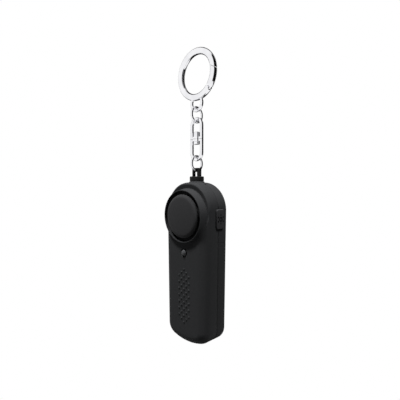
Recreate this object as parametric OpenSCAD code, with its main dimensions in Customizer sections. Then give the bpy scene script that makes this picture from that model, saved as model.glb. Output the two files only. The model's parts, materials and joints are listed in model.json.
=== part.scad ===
// Personal safety alarm on a key ring: a tapered two-cell casing with a siren drum, a side light
// button and a sliding battery door, hung by its pull pin from a swivel chain and a spring-gate ring.
// Millimetres, +Z up. The origin is the centre of the key ring, and the seam between the
// casing's front and rear halves lies in the plane y = 0. The front of the casing faces -Y.

/* [Key ring] */
// Outside diameter of the spring-gate ring
ring_od = 27; // [25:0.5:30]
// Diameter of the ring's round section
ring_wire = 3.5; // [3.3:0.1:3.8]
// Arc between the gate's hinge pin and its free end, in degrees
gate_arc = 55; // [50:1:60]
// Place of the gate's joint above the ring's side, in degrees
gate_joint = 8; // [4:1:12]
// Slant of the joint at the gate's free end, in degrees
gate_bevel = 40; // [38:1:45]
// Diameter of the gate's hinge pin
gate_pin_d = 1; // [0.8:0.1:1.2]
// Thickness of the gate's hinge tongue
gate_tongue_t = 1.1; // [0.9:0.1:1.3]

// Outside width of the eyelet cast on the ring
eyelet_w = 9; // [8.6:0.1:9.4]
// Diameter of the eyelet's round section
eyelet_wire = 1.6; // [1.4:0.1:1.8]
// Distance of the eyelet's centre below the middle of the ring's bar
eyelet_hang = 3.15; // [3:0.05:3.3]

/* [Chain] */
// Wire diameter of the two links
link_wire = 1.3; // [1:0.1:1.6]
// Outside width of the links
link_w = 8.7; // [8:0.1:9.5]
// Straight stretch of the link above the swivel
upper_link_straight = 0.2; // [0.1:0.1:4]
// Straight stretch of the link through the pull pin's eye
lower_link_straight = 0.2; // [0.1:0.1:4]
// Free play where a link hangs on its neighbour
hang_play = 0.1; // [0.08:0.01:0.2]

/* [Swivel] */
// Wire diameter of the bails
bail_wire = 1.8; // [1.5:0.1:2.2]
// Outside width of the bails
bail_w = 8.9; // [7.5:0.1:10]
// Length of each bail from its base to its outer end
bail_len = 11.4; // [10.5:0.1:14]
// Thickness of each bail's base
bail_base_t = 1.1; // [0.9:0.1:1.5]
// Diameter of the rivet's heads
rivet_head_d = 3.2; // [2.8:0.1:3.4]
// Diameter of the rivet's shank
rivet_d = 1.5; // [1.2:0.1:1.8]
// Height of the rivet's upper head
rivet_upper_h = 2.6; // [1.5:0.1:2.8]
// Height of the rivet's lower head
rivet_lower_h = 1.5; // [1:0.1:2]

/* [Pull pin] */
// Diameter of the plug head that stands on the casing
plug_d = 7.25; // [6.5:0.05:8]
// Height of the plug head
plug_h = 2.5; // [2:0.1:3.5]
// Diameter of the shank in the casing's crown
shank_d = 4.6; // [4:0.1:5]
// Length of the shank below the plug head
shank_len = 4.4; // [4:0.1:4.8]
// Width of the eye, side to side
eye_w = 5.2; // [4.8:0.1:5.6]
// Thickness of the eye, front to back
eye_t = 1.6; // [1.4:0.1:2]
// Height of the eye above the plug head
eye_h = 4.45; // [4.2:0.05:5]
// Material above the eye's hole
eye_land = 0.7; // [0.5:0.05:0.9]
// Width of the eye's hole
eye_hole_w = 2.6; // [2.2:0.1:2.8]
// Thickness of the switch blade
blade_t = 0.9; // [0.7:0.05:1.2]
// Width of the switch blade, front to back
blade_w = 2; // [1.6:0.1:2.2]
// Length of the switch blade below the shank
blade_len = 3; // [2.5:0.1:3.2]

/* [Casing] */
// Height of the casing without the pull pin
body_h = 83.6; // [82.5:0.1:90]
// Width across the shoulders
body_w = 30.8; // [30.5:0.1:33]
// Width across the foot
foot_w = 28.8; // [28.5:0.1:30.5]
// Depth of the front half, from its flat face to the seam
front_t = 9.55; // [9.5:0.05:10.5]
// Depth of the rear half, from the seam to its flat face
rear_t = 7.6; // [7.5:0.05:8.5]
// Radius of the shoulders in front view
shoulder_r = 14.4; // [14:0.1:15]
// Radius of the foot's corners in front view
foot_r = 7.3; // [6.5:0.1:7.5]
// Radius of the foot's bottom curve in front view
foot_curve_r = 31; // [29:0.5:40]
// Edge radius round the front face
front_edge_r = 4.9; // [4:0.1:5]
// Edge radius round the rear face
rear_edge_r = 2.9; // [2.5:0.1:3.2]
// Wall thickness
wall = 1.6; // [1.4:0.05:1.7]
// Gap along the seam and the door's edge
seam_gap = 0.2; // [0.1:0.05:0.3]
// Height of the raised rim under the plug head
rim_h = 0.6; // [0.4:0.1:1]

/* [Siren] */
// Distance from the crown down to the siren's centre
siren_drop = 17.3; // [17:0.1:18]
// Outside radius of the sound slot
slot_r = 13; // [12.8:0.1:13.2]
// Width of the sound slot
slot_w = 1.85; // [1.5:0.05:2.2]
// Height of the drum's rim above the front face
drum_rise = 1.55; // [1:0.05:2]
// Height of the siren cap above the drum's rim
cap_rise = 1.05; // [0.5:0.05:1.5]
// Thickness of the siren cap
cap_t = 1.8; // [1.5:0.1:2]
// Diameter of the sounder's brass plate
piezo_d = 22.6; // [21:0.1:22.8]
// Diameter of the sounder's ceramic disc
ceramic_d = 16; // [12:0.5:18]

/* [Lamp and button] */
// Distance from the crown down to the lamp
lamp_drop = 36.1; // [35.5:0.1:37]
// Diameter of the lamp's hole
lamp_d = 3.4; // [3:0.1:3.8]
// Distance from the crown down to the light button's centre
button_drop = 18.5; // [18:0.1:19]
// Height of the light button
button_h = 10; // [8:0.1:10.5]
// Width of the light button, front to back
button_w = 6.8; // [6:0.1:7]
// Height of the light button above the casing's side
button_proud = 0.95; // [0.8:0.05:1.2]
// Travel of the light button
button_travel = 0.7; // [0.4:0.05:0.7]

/* [Grip dots] */
// Distance from the crown down to the middle of the dots
grip_drop = 58.45; // [57:0.05:59]
// Distance between the columns of dots
dot_column_step = 1.8; // [1.7:0.05:1.9]
// Distance between the dots of one column
dot_step = 3.45; // [3.3:0.05:3.5]
// Diameter of a dot
dot_d = 1.36; // [1:0.02:1.5]
// Height of a dot
dot_rise = 0.35; // [0.2:0.05:0.5]

/* [Battery] */
// Distance from the crown down to the battery door's upper edge
door_drop = 30.65; // [30.5:0.05:31]
// Diameter of an AAA cell
cell_d = 10.5; // [10.3:0.1:10.5]
// Length of an AAA cell with its terminal
cell_len = 44.5; // [44.3:0.1:44.6]
// Room for each contact spring
spring_room = 2.4; // [2.2:0.1:2.6]

/* [Hidden] */
$fn = 48;

// Clearances
run_play = 0.05;
slide_play = 0.2;
over = 1;

// Key ring
ring_r = (ring_od - ring_wire) / 2;
gate_gap = 0.3;
knuckle_r = 1.3;
knuckle_gap = 0.35;
tongue_r = 1;
tongue_room = 0.35;
tongue_slot_t = gate_tongue_t + slide_play;
knuckle_turn = knuckle_r * 180 / PI / ring_r;
gate_bar_turn = (knuckle_r + knuckle_gap) * 180 / PI / ring_r;
gate_pin_sink = 0.31;
gate_pin_len = ring_wire - 2 * gate_pin_sink;
bevel_room_turn = 18;
gate_hinge = gate_joint - gate_arc;
gate_spring_d = 1.6;
gate_spring_wall = 0.3;
gate_spring_turn = 14;
gate_spring_back = 9;
gate_spring_end = gate_hinge - gate_spring_back - gate_spring_turn;
eyelet_r = (eyelet_w - eyelet_wire) / 2;
eyelet_z = -ring_r - eyelet_hang;
eyelet_straight = 0.05;

// Heights down the chain, worked out from the ring: each pivot is the middle of the wire hung on
link_r = (link_w - link_wire) / 2;
upper_link_pivot = eyelet_z - eyelet_r - eyelet_straight;
upper_link_top = upper_link_pivot + eyelet_wire / 2 + hang_play + link_wire / 2;
swivel_pivot = upper_link_top - 2 * link_r - upper_link_straight;
upper_bail_end = swivel_pivot + link_wire / 2 + hang_play + bail_wire;
upper_base = upper_bail_end - bail_len;
split_gap = 0.15;
lower_base = upper_base - split_gap;
lower_link_pivot = lower_base - bail_len + bail_wire / 2;
lower_link_top = lower_link_pivot + bail_wire / 2 + hang_play + link_wire / 2;
pin_pivot = lower_link_top - 2 * link_r - lower_link_straight;
bail_base_margin = 0.6;
bail_base_r = rivet_head_d / 2 + bail_base_margin;
rivet_len = rivet_lower_h + 2 * bail_base_t + split_gap + run_play + rivet_upper_h / 2;

// Pull pin and crown
eye_hole_shift = -0.4;
eye_play = 0.15;
eye_hole_top = pin_pivot + link_wire / 2 + eye_play;
eye_top = eye_hole_top + eye_land;
plug_top = eye_top - eye_h;
plug_bottom = plug_top - plug_h;
plug_edge = 0.4;
crown_z = plug_bottom - run_play - rim_h;
shank_end = plug_bottom - shank_len;
blade_end = shank_end - blade_len;
shank_bore_d = shank_d + 2 * run_play;
shank_boss_wall = 1.4;
shank_boss_d = shank_bore_d + 2 * shank_boss_wall;
shank_boss_lap = 0.3;
rim_lip = 0.2;
rim_flare = 1.8;
rim_top_r = plug_d / 2 + rim_lip;
rim_base_r = plug_d / 2 + rim_flare;
rim_sink = 0.8;

// Casing outline in front view: the shoulder's arc leaves a flat on the crown
crown_flat = 0.5;
shoulder_arc_r = min(shoulder_r, body_w / 2 - crown_flat);
shoulder_x = body_w / 2 - shoulder_arc_r;
shoulder_z = crown_z - shoulder_arc_r;
foot_z = crown_z - body_h;
foot_curve_z = foot_z + foot_curve_r;
foot_x = foot_w / 2 - foot_r;
foot_reach = foot_curve_r - foot_r;
foot_corner_z = foot_curve_z - sqrt(foot_reach * foot_reach - foot_x * foot_x);
foot_turn = asin(foot_x / foot_reach);
side_run = [foot_x - shoulder_x, foot_corner_z - shoulder_z];
side_turn = atan2(side_run.y, side_run.x) + acos((shoulder_arc_r - foot_r) / norm(side_run));
bottom_turn = 0.8 * foot_turn;
shoulder_steps = 14;
foot_steps = 7;
side_taper = (body_w - foot_w) / 2 / (shoulder_z - foot_corner_z);
edge_turn_step = 15;
front_y = -front_t;
rear_y = rear_t;
front_inner_y = front_y + wall;
rear_inner_y = rear_y - wall;

// Siren
siren_z = crown_z - siren_drop;
rim_y = front_y - drum_rise;
slot_depth = 2.45;
floor_y = rim_y + slot_depth;
floor_t = 1.3;
floor_back_y = floor_y + floor_t;
drum_lip = 0.4;
drum_flare = 2;
drum_sink = 2.9;
drum_foot_r = slot_r + drum_flare;
drum_foot_y = front_y + drum_sink;
cap_r = slot_r - slot_w;
cap_y = rim_y - cap_rise;
cap_edge = 0.6;
cap_post_d = 2.3;
cap_post_r = 5.2;
cap_posts = 3;
port_d = 2.4;
port_r = 8.6;
ports = 9;
holder_wall = 1.15;
holder_play = 0.25;
holder_r = piezo_d / 2 + holder_play;
holder_ring_wall = 0.8;
holder_ring_h = 3.15;
holder_ring_r = holder_r + run_play + holder_ring_wall;
holder_ring_end = floor_back_y + holder_ring_h;
gasket_t = 2;
gasket_r = piezo_d / 2;
gasket_w = 1.1;
piezo_y = floor_back_y + gasket_t;
piezo_t = 0.3;
ceramic_t = 0.25;
blade_room = 0.3;
holder_end = -blade_w / 2 - blade_room;
holder_back_t = 0.9;
piezo_lead_d = 0.8;
piezo_lead_drops = [4, 9.3];

// Light button and its switch
button_z = crown_z - button_drop;
button_side_x = body_w / 2 - side_taper * (shoulder_z - button_z);
button_face_x = button_side_x + button_proud;
button_corner_r = 1.2;
button_edge = 0.5;
button_flange_t = 0.7;
button_flange = 0.5;
button_flange_gap = 0.1;
button_flange_x = button_side_x - wall - button_flange_gap;
button_inner_x = button_flange_x - button_flange_t;
plunger_d = 2;
plunger_len = 2.4;
switch_room = 0.8;
switch_x = button_inner_x - button_travel - switch_room;
switch_len = 3.4;
switch_t = 3.2;
switch_h = 6;
switch_bore_len = plunger_len;

// Circuit board and what it carries
door_z = crown_z - door_drop;
board_y = 2.2;
plunger_drop = 1.65;
plunger_y = board_y - plunger_drop;
board_t = 1.2;
board_back_y = board_y + board_t;
board_w = 2 * switch_x;
board_neck_w = 12.6;
blade_lap = 1.8;
board_top = blade_end + blade_lap;
board_shoulder_rise = 5;
board_shoulder = siren_z + board_shoulder_rise;
board_bottom = door_z + slide_play;
chip_size = [6, 1.5, 5];
coil_d = 6;
coil_h = 3;
coil_in = 5;
coil_x = coil_in - board_w / 2;
coil_flange_t = 0.6;
contact_t = 0.3;
contact_foot = 2;
contact_tab_reach = 1.8;

// Screws
screw_d = 1.9;
screw_head_d = 3.6;
screw_head_h = 1.3;
screw_sink = 0.4;
screw_boss_d = 4.6;
pilot_play = 0.04;
pass_play = 0.3;
screw_pilot_d = screw_d + pilot_play;
screw_pass_d = screw_d + pass_play;
upper_screw_in = 6.1;
upper_screw_drop = 6.4;
lower_screw_in = 1.8;
lower_screw_rise = 2.9;
upper_screw_x = body_w / 2 - upper_screw_in;
upper_screw_z = crown_z - upper_screw_drop;
lower_screw_x = board_w / 2 - lower_screw_in;
lower_screw_z = board_bottom + lower_screw_rise;
screw_end_y = -3;
screw_seat_y = rear_y - screw_sink - screw_head_h;
screw_room = 0.5;
shell_screw_places = [
    for (side = [-1, 1]) [side * upper_screw_x, upper_screw_z],
    for (side = [-1, 1]) [side * lower_screw_x, lower_screw_z]
];

// Lamp
lamp_z = crown_z - lamp_drop;
lamp_proud = 0.85;
lamp_flange_t = 1;
lamp_flange = 0.4;
lamp_ring_gap = 0.15;
lamp_flange_d = lamp_d + 2 * lamp_flange;
lamp_body_d = lamp_d - 2 * lamp_ring_gap;
lamp_lead_d = 0.5;
lamp_lead_x = 0.64;
lamp_lead_bend = 0.5;
lamp_lead_room = 0.45;
lamp_lead_y = front_inner_y + lamp_flange_t + lamp_lead_bend;
lamp_lead_z = siren_z - holder_ring_r - lamp_lead_room;

// Battery compartment: cells lie side by side, with opposite ends up
tray_wall = 1;
tray_play = 0.6;
tray_drop = 1.3;
tray_top = door_z - tray_drop;
contact_top_z = tray_top - tray_wall - contact_t;
link_plate_z = contact_top_z - cell_len - spring_room;
tray_bottom = link_plate_z - contact_t;
tray_room = tray_top - tray_wall - tray_bottom;
cell_gap = 0.2;
cell_x = (cell_d + cell_gap) / 2;
cell_back_play = 0.15;
cell_front_play = 0.25;
cell_side_play = 0.3;
cell_y = rear_inner_y - cell_back_play - cell_d / 2;
cell_nub_d = 3.8;
cell_nub_h = 1;
cell_edge = 0.4;
tray_floor_y = cell_y - cell_d / 2 - cell_front_play;
tray_half_w = cell_x + cell_d / 2 + cell_side_play;
tray_rim_y = 3.2;
contact_w = 7;
contact_tab_w = 2;
contact_h = 7.2;
contact_y0 = cell_y - contact_h / 2;
spring_wire = 0.5;
spring_base_r = 3.2;
spring_tip_r = 2;
spring_turns = 2.5;
rail_t = 1;
rail_reach = 0.65;
rail_w = tray_wall + rail_reach;
rail_y = 1.5;
rail_drop = 4;
rail_top = tray_top - rail_drop;
rail_bottom = foot_corner_z + foot_r;
tray_screw_drop = 11;
tray_screw_rise = 9;
tray_screw_places = [tray_top - tray_screw_drop, tray_bottom + tray_screw_rise];
tray_boss_d = 4.4;
tray_screw_len = 3.3;
door_lip_w = 4;
door_lip_t = 0.9;
door_lip_len = 2.6;
grip_bars = 4;
grip_bar_w = 11;
grip_bar_t = 0.9;
grip_bar_step = 2.2;
grip_bar_rise = 0.4;
grip_bar_drop = 7;

// Dots: how many in each column, from left to right
dot_counts = [7, 8, 9, 8, 7];
dot_ball_r = (dot_d * dot_d / 4 + dot_rise * dot_rise) / 2 / dot_rise;

echo(str("pivots ", [upper_link_pivot, swivel_pivot, lower_link_pivot, pin_pivot], " split ", upper_base));
echo(str("crown ", crown_z, " foot ", foot_z, " siren ", siren_z, " button ", [button_face_x, button_z]));

// A round bar bent along part of the key ring, between two ring angles
module ring_arc(section_d, from, turn) {
    rotate([90, 0, 0]) rotate([0, 0, from])
        rotate_extrude(angle = turn, $fn = 96) translate([ring_r, 0]) circle(d = section_d);
}

// A flat band bent along part of the key ring
module ring_band(width, thickness, from, turn) {
    rotate([90, 0, 0]) rotate([0, 0, from])
        rotate_extrude(angle = turn, $fn = 96) translate([ring_r, 0])
            square([width, thickness], center = true);
}

// Moves its children to a ring angle
module at_ring(angle) {
    translate([ring_r * cos(angle), 0, ring_r * sin(angle)]) children();
}

// A cylinder along Y, centred on its middle
module y_rod(d, len) {
    rotate([90, 0, 0]) cylinder(d = d, h = len, center = true);
}

// A cylinder along Y between two depths, at a place in front view
module y_post(d, x, z, from, to) {
    translate([x, from, z]) rotate([-90, 0, 0]) cylinder(d = d, h = to - from);
}

// The half-space beyond the slanted joint of the gate, on one side
module gate_cut(side) {
    across = 4 * ring_wire;
    depth = 1.65 * ring_wire;
    at_ring(gate_joint) rotate([0, gate_bevel - gate_joint, 0])
        translate([-across / 2, -across / 2, side > 0 ? -gate_gap / 2 : gate_gap / 2 - depth])
            cube([across, across, depth]);
}

// A ring of round wire in the XZ plane with straight sides, hung from the middle of its upper end
module wire_link(r, wire, straight) {
    translate([0, 0, -r]) rotate([90, 0, 0])
        rotate_extrude(angle = 180) translate([r, 0]) circle(d = wire);
    translate([0, 0, -r - straight]) rotate([-90, 0, 0])
        rotate_extrude(angle = 180) translate([r, 0]) circle(d = wire);
    for (side = [-1, 1])
        translate([side * r, 0, -r - straight]) cylinder(d = wire, h = straight);
}

// One bail of the swivel in the XZ plane: its base lies at z = 0 and its loop points up
module swivel_bail(bore_d) {
    r = (bail_w - bail_wire) / 2;
    loop_z = bail_len - bail_wire / 2 - r;
    difference() {
        union() {
            translate([0, 0, loop_z]) rotate([90, 0, 0])
                rotate_extrude(angle = 180) translate([r, 0]) circle(d = bail_wire);
            for (side = [-1, 1]) translate([side * r, 0, 0]) cylinder(d = bail_wire, h = loop_z);
            translate([-r, -bail_wire / 2, 0]) cube([2 * r, bail_wire, bail_base_t]);
            cylinder(r = bail_base_r, h = bail_base_t);
        }
        translate([0, 0, -over]) cylinder(d = bore_d, h = bail_base_t + 2 * over);
    }
}

// Points along an arc about a centre
function arc_points(centre, r, from, to, steps) = [
    for (i = [0 : steps])
        let (turn = from + (to - from) * i / steps)
        centre + r * [cos(turn), sin(turn)]
];

// The casing's outline in front view, drawn in all round by an inset
function casing_outline(inset) = concat(
    arc_points([shoulder_x, shoulder_z], shoulder_arc_r - inset, side_turn, 90, shoulder_steps),
    arc_points([-shoulder_x, shoulder_z], shoulder_arc_r - inset, 90, 180 - side_turn, shoulder_steps),
    arc_points([-foot_x, foot_corner_z], foot_r - inset, 180 - side_turn, 270 - foot_turn, foot_steps),
    arc_points([0, foot_curve_z], foot_curve_r - inset, 270 - bottom_turn, 270 + bottom_turn, foot_steps),
    arc_points([foot_x, foot_corner_z], foot_r - inset, 270 + foot_turn, 360 + side_turn, foot_steps)
);

// A closed solid through outlines at several depths, each given as [inset, y], with y rising
module casing_loft(slices) {
    rings = [for (slice = slices) [for (p = casing_outline(slice[0])) [p.x, slice[1], p.y]]];
    count = len(rings[0]);
    last = (len(rings) - 1) * count;
    walls = [
        for (i = [0 : len(rings) - 2], j = [0 : count - 1])
            let (a = i * count + j, b = i * count + (j + 1) % count)
            each [[a, b, b + count], [a, b + count, a + count]]
    ];
    caps = [[for (j = [count - 1 : -1 : 0]) j], [for (j = [0 : count - 1]) last + j]];
    polyhedron(points = [for (ring = rings) each ring], faces = concat(walls, caps));
}

// The casing's form from the seam to one flat face, with that face's edge rounded
module casing_half(inset, face_y, edge_r) {
    turns = [0 : edge_turn_step : 90];
    if (face_y > 0)
        casing_loft(concat([[inset, 0]], [
            for (turn = turns) [inset + edge_r * (1 - cos(turn)), face_y - edge_r * (1 - sin(turn))]
        ]));
    else
        casing_loft(concat([
            for (turn = turns) [inset + edge_r * (1 - sin(turn)), face_y + edge_r * (1 - cos(turn))]
        ], [[inset, 0]]));
}

// The casing's outline as a straight prism between two depths
module casing_prism(inset, from, to) {
    translate([0, to, 0]) rotate([90, 0, 0]) linear_extrude(to - from) polygon(casing_outline(inset));
}

// A block that covers everything on one side of a height
module above(z) {
    translate([-body_w, -body_w, z]) cube([2 * body_w, 2 * body_w, 2 * body_h]);
}
module below(z) {
    translate([-body_w, -body_w, z - 2 * body_h]) cube([2 * body_w, 2 * body_w, 2 * body_h]);
}

// Blocks on the two sides of the seam
module front_side() {
    translate([-body_w, -2 * body_w - seam_gap / 2, foot_z - body_h])
        cube([2 * body_w, 2 * body_w, 3 * body_h]);
}
module rear_side() {
    translate([-body_w, seam_gap / 2, foot_z - body_h])
        cube([2 * body_w, 2 * body_w, 3 * body_h]);
}

// The raised rim under the plug head and the boss that guides the shank
module crown_boss() {
    translate([0, 0, crown_z - rim_sink]) cylinder(r1 = rim_base_r, r2 = rim_top_r, h = rim_sink + rim_h);
    translate([0, 0, shank_end + shank_boss_lap])
        cylinder(d = shank_boss_d, h = crown_z - rim_sink - shank_end);
}
module crown_bore() {
    translate([0, 0, blade_end]) cylinder(d = shank_bore_d, h = crown_z + rim_h + over - blade_end);
}

// A rounded rectangle, w wide and h high
module rounded_rect(w, h, r) {
    square([w - 2 * r, h], center = true);
    square([w, h - 2 * r], center = true);
    for (x = [-1, 1], y = [-1, 1]) translate([x * (w / 2 - r), y * (h / 2 - r)]) circle(r);
}

// A prism along +X with the light button's outline, grown all round
module button_block(grow, from, to) {
    translate([from, 0, button_z]) rotate([90, 0, 90])
        linear_extrude(to - from)
            rounded_rect(button_w + 2 * grow, button_h + 2 * grow, button_corner_r + grow);
}

// A straight round wire between two points
module rod(start, end, d) {
    along = end - start;
    len = norm(along);
    translate(start) rotate([0, acos(along.z / len), atan2(along.y, along.x)]) cylinder(d = d, h = len);
}

// A coil spring of round wire along +Z, from one mean radius to another, its end faces flat
module coil_spring(base_r, tip_r, height, turns, wire) {
    sides = 6;
    rings = ceil(turns * 14);
    rise = height - wire;
    points = [
        for (i = [0 : rings], j = [0 : sides - 1])
            let (f = i / rings,
                 turn = 360 * turns * f,
                 r = base_r + (tip_r - base_r) * f + wire / 2 * cos(360 * j / sides),
                 z = wire / 2 + rise * f + wire / 2 * sin(360 * j / sides))
            [r * cos(turn), r * sin(turn), z]
    ];
    walls = [
        for (i = [0 : rings - 1], j = [0 : sides - 1])
            let (a = i * sides + j, b = i * sides + (j + 1) % sides)
            each [[a, a + sides, b + sides], [a, b + sides, b]]
    ];
    ends = [
        for (j = [1 : sides - 2])
            each [[0, j, j + 1], [rings * sides, rings * sides + j + 1, rings * sides + j]]
    ];
    polyhedron(points = points, faces = concat(walls, ends));
}

// Casing

module front_shell() {
    color([0.16, 0.16, 0.17]) difference() {
        union() {
            intersection() {
                front_side();
                union() {
                    difference() {
                        union() {
                            casing_half(0, front_y, front_edge_r);
                            siren_drum();
                            grip_dots();
                        }
                        casing_half(wall, front_inner_y, front_edge_r - wall);
                    }
                    intersection() {
                        casing_half(wall / 2, front_y + wall / 2, front_edge_r - wall / 2);
                        front_bosses();
                    }
                    siren_floor();
                    crown_boss();
                }
            }
            intersection() {
                casing_prism(wall + slide_play, screw_end_y, board_y);
                for (place = shell_screw_places)
                    y_post(screw_boss_d, place.x, place.y, screw_end_y, board_y);
            }
        }
        y_post(2 * slot_r, 0, siren_z, rim_y - over, floor_y);
        y_post(2 * (holder_r + run_play), 0, siren_z, floor_back_y, holder_ring_end + over);
        siren_holes(ports, 180 / ports, port_r, port_d);
        siren_holes(cap_posts, 90, cap_post_r, cap_post_d);
        y_post(lamp_d, 0, lamp_z, front_y - over, front_inner_y + over);
        for (place = shell_screw_places)
            y_post(screw_pilot_d, place.x, place.y, screw_end_y - screw_room, board_y + over);
        for (z = tray_screw_places)
            y_post(screw_pilot_d, 0, z, tray_floor_y - tray_screw_len - run_play, tray_floor_y);
        button_block(slide_play, button_side_x - 2 * wall, button_side_x + 2 * wall);
        crown_bore();
    }
}

// The flared wall that stands round the sound slot
module siren_drum() {
    translate([0, rim_y, siren_z]) rotate([-90, 0, 0])
        cylinder(r1 = slot_r + drum_lip, r2 = drum_foot_r, h = drum_foot_y - rim_y, $fn = 96);
}

module grip_dots() {
    last_column = len(dot_counts) - 1;
    for (column = [0 : last_column], row = [0 : dot_counts[column] - 1])
        translate([
            (column - last_column / 2) * dot_column_step,
            front_y - dot_rise + dot_ball_r,
            crown_z - grip_drop + (row - (dot_counts[column] - 1) / 2) * dot_step
        ]) sphere(dot_ball_r, $fn = 24);
}

module front_bosses() {
    for (place = shell_screw_places) y_post(screw_boss_d, place.x, place.y, front_y, 0);
    for (z = tray_screw_places) y_post(tray_boss_d, 0, z, front_y, tray_floor_y - tray_wall);
}

// The plate under the siren cap and the ring behind it, before the sounder's seat is cut
module siren_floor() {
    y_post(2 * holder_ring_r, 0, siren_z, floor_y, holder_ring_end);
}

// A ring of holes through the siren's floor
module siren_holes(count, from, radius, d) {
    for (i = [0 : count - 1])
        let (turn = from + 360 * i / count)
        y_post(d, radius * cos(turn), siren_z + radius * sin(turn), floor_y - over, floor_back_y + over);
}

module rear_shell() {
    color([0.15, 0.15, 0.16]) difference() {
        intersection() {
            rear_side();
            above(door_z + seam_gap / 2);
            union() {
                difference() {
                    casing_half(0, rear_y, rear_edge_r);
                    casing_half(wall, rear_inner_y, rear_edge_r - wall);
                }
                intersection() {
                    casing_half(wall / 2, rear_y - wall / 2, rear_edge_r - wall / 2);
                    rear_bosses();
                }
                crown_boss();
            }
        }
        for (place = shell_screw_places) {
            y_post(screw_pass_d, place.x, place.y, -over, rear_y);
            y_post(screw_head_d + 2 * slide_play, place.x, place.y, screw_seat_y, rear_y + over);
        }
        button_block(slide_play, button_side_x - 2 * wall, button_side_x + 2 * wall);
        crown_bore();
    }
}

module rear_bosses() {
    for (side = [-1, 1]) {
        y_post(screw_boss_d, side * upper_screw_x, upper_screw_z, board_y, rear_y);
        y_post(screw_boss_d, side * lower_screw_x, lower_screw_z, board_back_y, rear_y);
    }
}

module battery_door() {
    color([0.15, 0.15, 0.16]) {
        intersection() {
            rear_side();
            below(door_z - seam_gap / 2);
            union() {
                difference() {
                    casing_half(0, rear_y, rear_edge_r);
                    casing_half(wall, rear_inner_y, rear_edge_r - wall);
                }
                intersection() {
                    casing_half(wall / 2, rear_y - wall / 2, rear_edge_r - wall / 2);
                    door_rails();
                }
                door_grip();
            }
        }
        translate([-door_lip_w / 2, rear_inner_y - run_play - door_lip_t, door_z - 2 * door_lip_len])
            cube([door_lip_w, door_lip_t, 3 * door_lip_len]);
        translate([-door_lip_w / 2, rear_inner_y - run_play - door_lip_t, door_z - 2 * door_lip_len])
            cube([door_lip_w, door_lip_t + 2 * run_play, door_lip_len]);
    }
}

// Inward rails on the door's side walls, which run in front of the tray's rails
module door_rails() {
    from_x = tray_half_w + tray_wall + slide_play;
    for (side = [-1, 1])
        translate([side > 0 ? from_x : -body_w / 2, 0, rail_bottom])
            cube([body_w / 2 - from_x, rail_y - slide_play, rail_top - rail_bottom]);
}

// Raised bars on the door's back, for the thumb
module door_grip() {
    for (i = [0 : grip_bars - 1])
        translate([-grip_bar_w / 2, rear_y - grip_bar_rise, door_z - grip_bar_drop - i * grip_bar_step])
            cube([grip_bar_w, 2 * grip_bar_rise, grip_bar_t]);
}

module battery_tray() {
    color([0.2, 0.2, 0.21]) difference() {
        union() {
            intersection() {
                casing_prism(wall + tray_play, tray_floor_y - tray_wall, tray_rim_y);
                difference() {
                    tray_block(tray_wall);
                    tray_block(0);
                }
            }
            for (side = [-1, 1])
                translate([side * (tray_half_w + rail_w / 2) - rail_w / 2, rail_y, rail_bottom])
                    cube([rail_w, rail_t, rail_top - rail_bottom]);
        }
        for (z = tray_screw_places)
            y_post(screw_pass_d, 0, z, tray_floor_y - tray_wall - over, tray_floor_y + over);
        for (side = [-1, 1]) contact_tab(side, run_play, tray_top - tray_wall - over, tray_top + over);
    }
}

// The room for the cells, grown all round by a wall and open to the rear
module tray_block(grow) {
    translate([-tray_half_w - grow, tray_floor_y - grow, tray_bottom - grow])
        cube([2 * (tray_half_w + grow), tray_rim_y + 2 * over - tray_floor_y, tray_room + 2 * grow]);
}

module siren_cap() {
    color([0.17, 0.17, 0.18]) {
        y_disc(cap_r, cap_y + cap_edge, cap_y + cap_t);
        translate([0, cap_y, siren_z]) rotate([-90, 0, 0])
            cylinder(r1 = cap_r - cap_edge, r2 = cap_r, h = cap_edge, $fn = 96);
        for (i = [0 : cap_posts - 1])
            let (turn = 90 + 360 * i / cap_posts)
            y_post(cap_post_d - 2 * run_play, cap_post_r * cos(turn), siren_z + cap_post_r * sin(turn),
                   cap_y + cap_t / 2, floor_back_y);
    }
}

// A disc on the siren's axis between two depths
module y_disc(r, from, to) {
    translate([0, from, siren_z]) rotate([-90, 0, 0]) cylinder(r = r, h = to - from, $fn = 96);
}

module siren_gasket() {
    color("dimgray") difference() {
        y_disc(gasket_r, floor_back_y, piezo_y);
        y_disc(gasket_r - gasket_w, floor_back_y - over, piezo_y + over);
    }
}

module piezo_plate() {
    color("goldenrod") y_disc(piezo_d / 2, piezo_y, piezo_y + piezo_t);
}

module piezo_ceramic() {
    color("ivory") y_disc(ceramic_d / 2, piezo_y + piezo_t, piezo_y + piezo_t + ceramic_t);
}

module siren_holder() {
    color([0.25, 0.25, 0.27]) difference() {
        y_disc(holder_r, piezo_y + piezo_t, holder_end);
        y_disc(holder_r - holder_wall, piezo_y + piezo_t - over, holder_end - holder_back_t);
        for (drop = piezo_lead_drops)
            y_post(piezo_lead_d + 2 * slide_play, 0, siren_z - drop, piezo_y, holder_end + over);
    }
}

module piezo_leads() {
    color("firebrick") {
        y_post(piezo_lead_d, 0, siren_z - piezo_lead_drops[0], piezo_y + piezo_t + ceramic_t, board_y);
        y_post(piezo_lead_d, 0, siren_z - piezo_lead_drops[1], piezo_y + piezo_t, board_y);
    }
}

module circuit_board() {
    color("darkgreen") difference() {
        translate([0, board_back_y, 0]) rotate([90, 0, 0]) linear_extrude(board_t) {
            translate([-board_w / 2, board_bottom]) square([board_w, board_shoulder - board_bottom]);
            translate([-board_neck_w / 2, board_bottom]) square([board_neck_w, board_top - board_bottom]);
        }
        for (place = shell_screw_places)
            y_post(screw_pass_d, place.x, place.y, board_y - over, board_back_y + over);
    }
}

module boost_coil() {
    color("saddlebrown") {
        y_post(coil_d, coil_x, siren_z, board_y - coil_flange_t, board_y);
        y_post(coil_d - 2 * coil_flange_t, coil_x, siren_z, board_y - coil_h, board_y);
        y_post(coil_d, coil_x, siren_z, board_y - coil_h, board_y - coil_h + coil_flange_t);
    }
}

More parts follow.
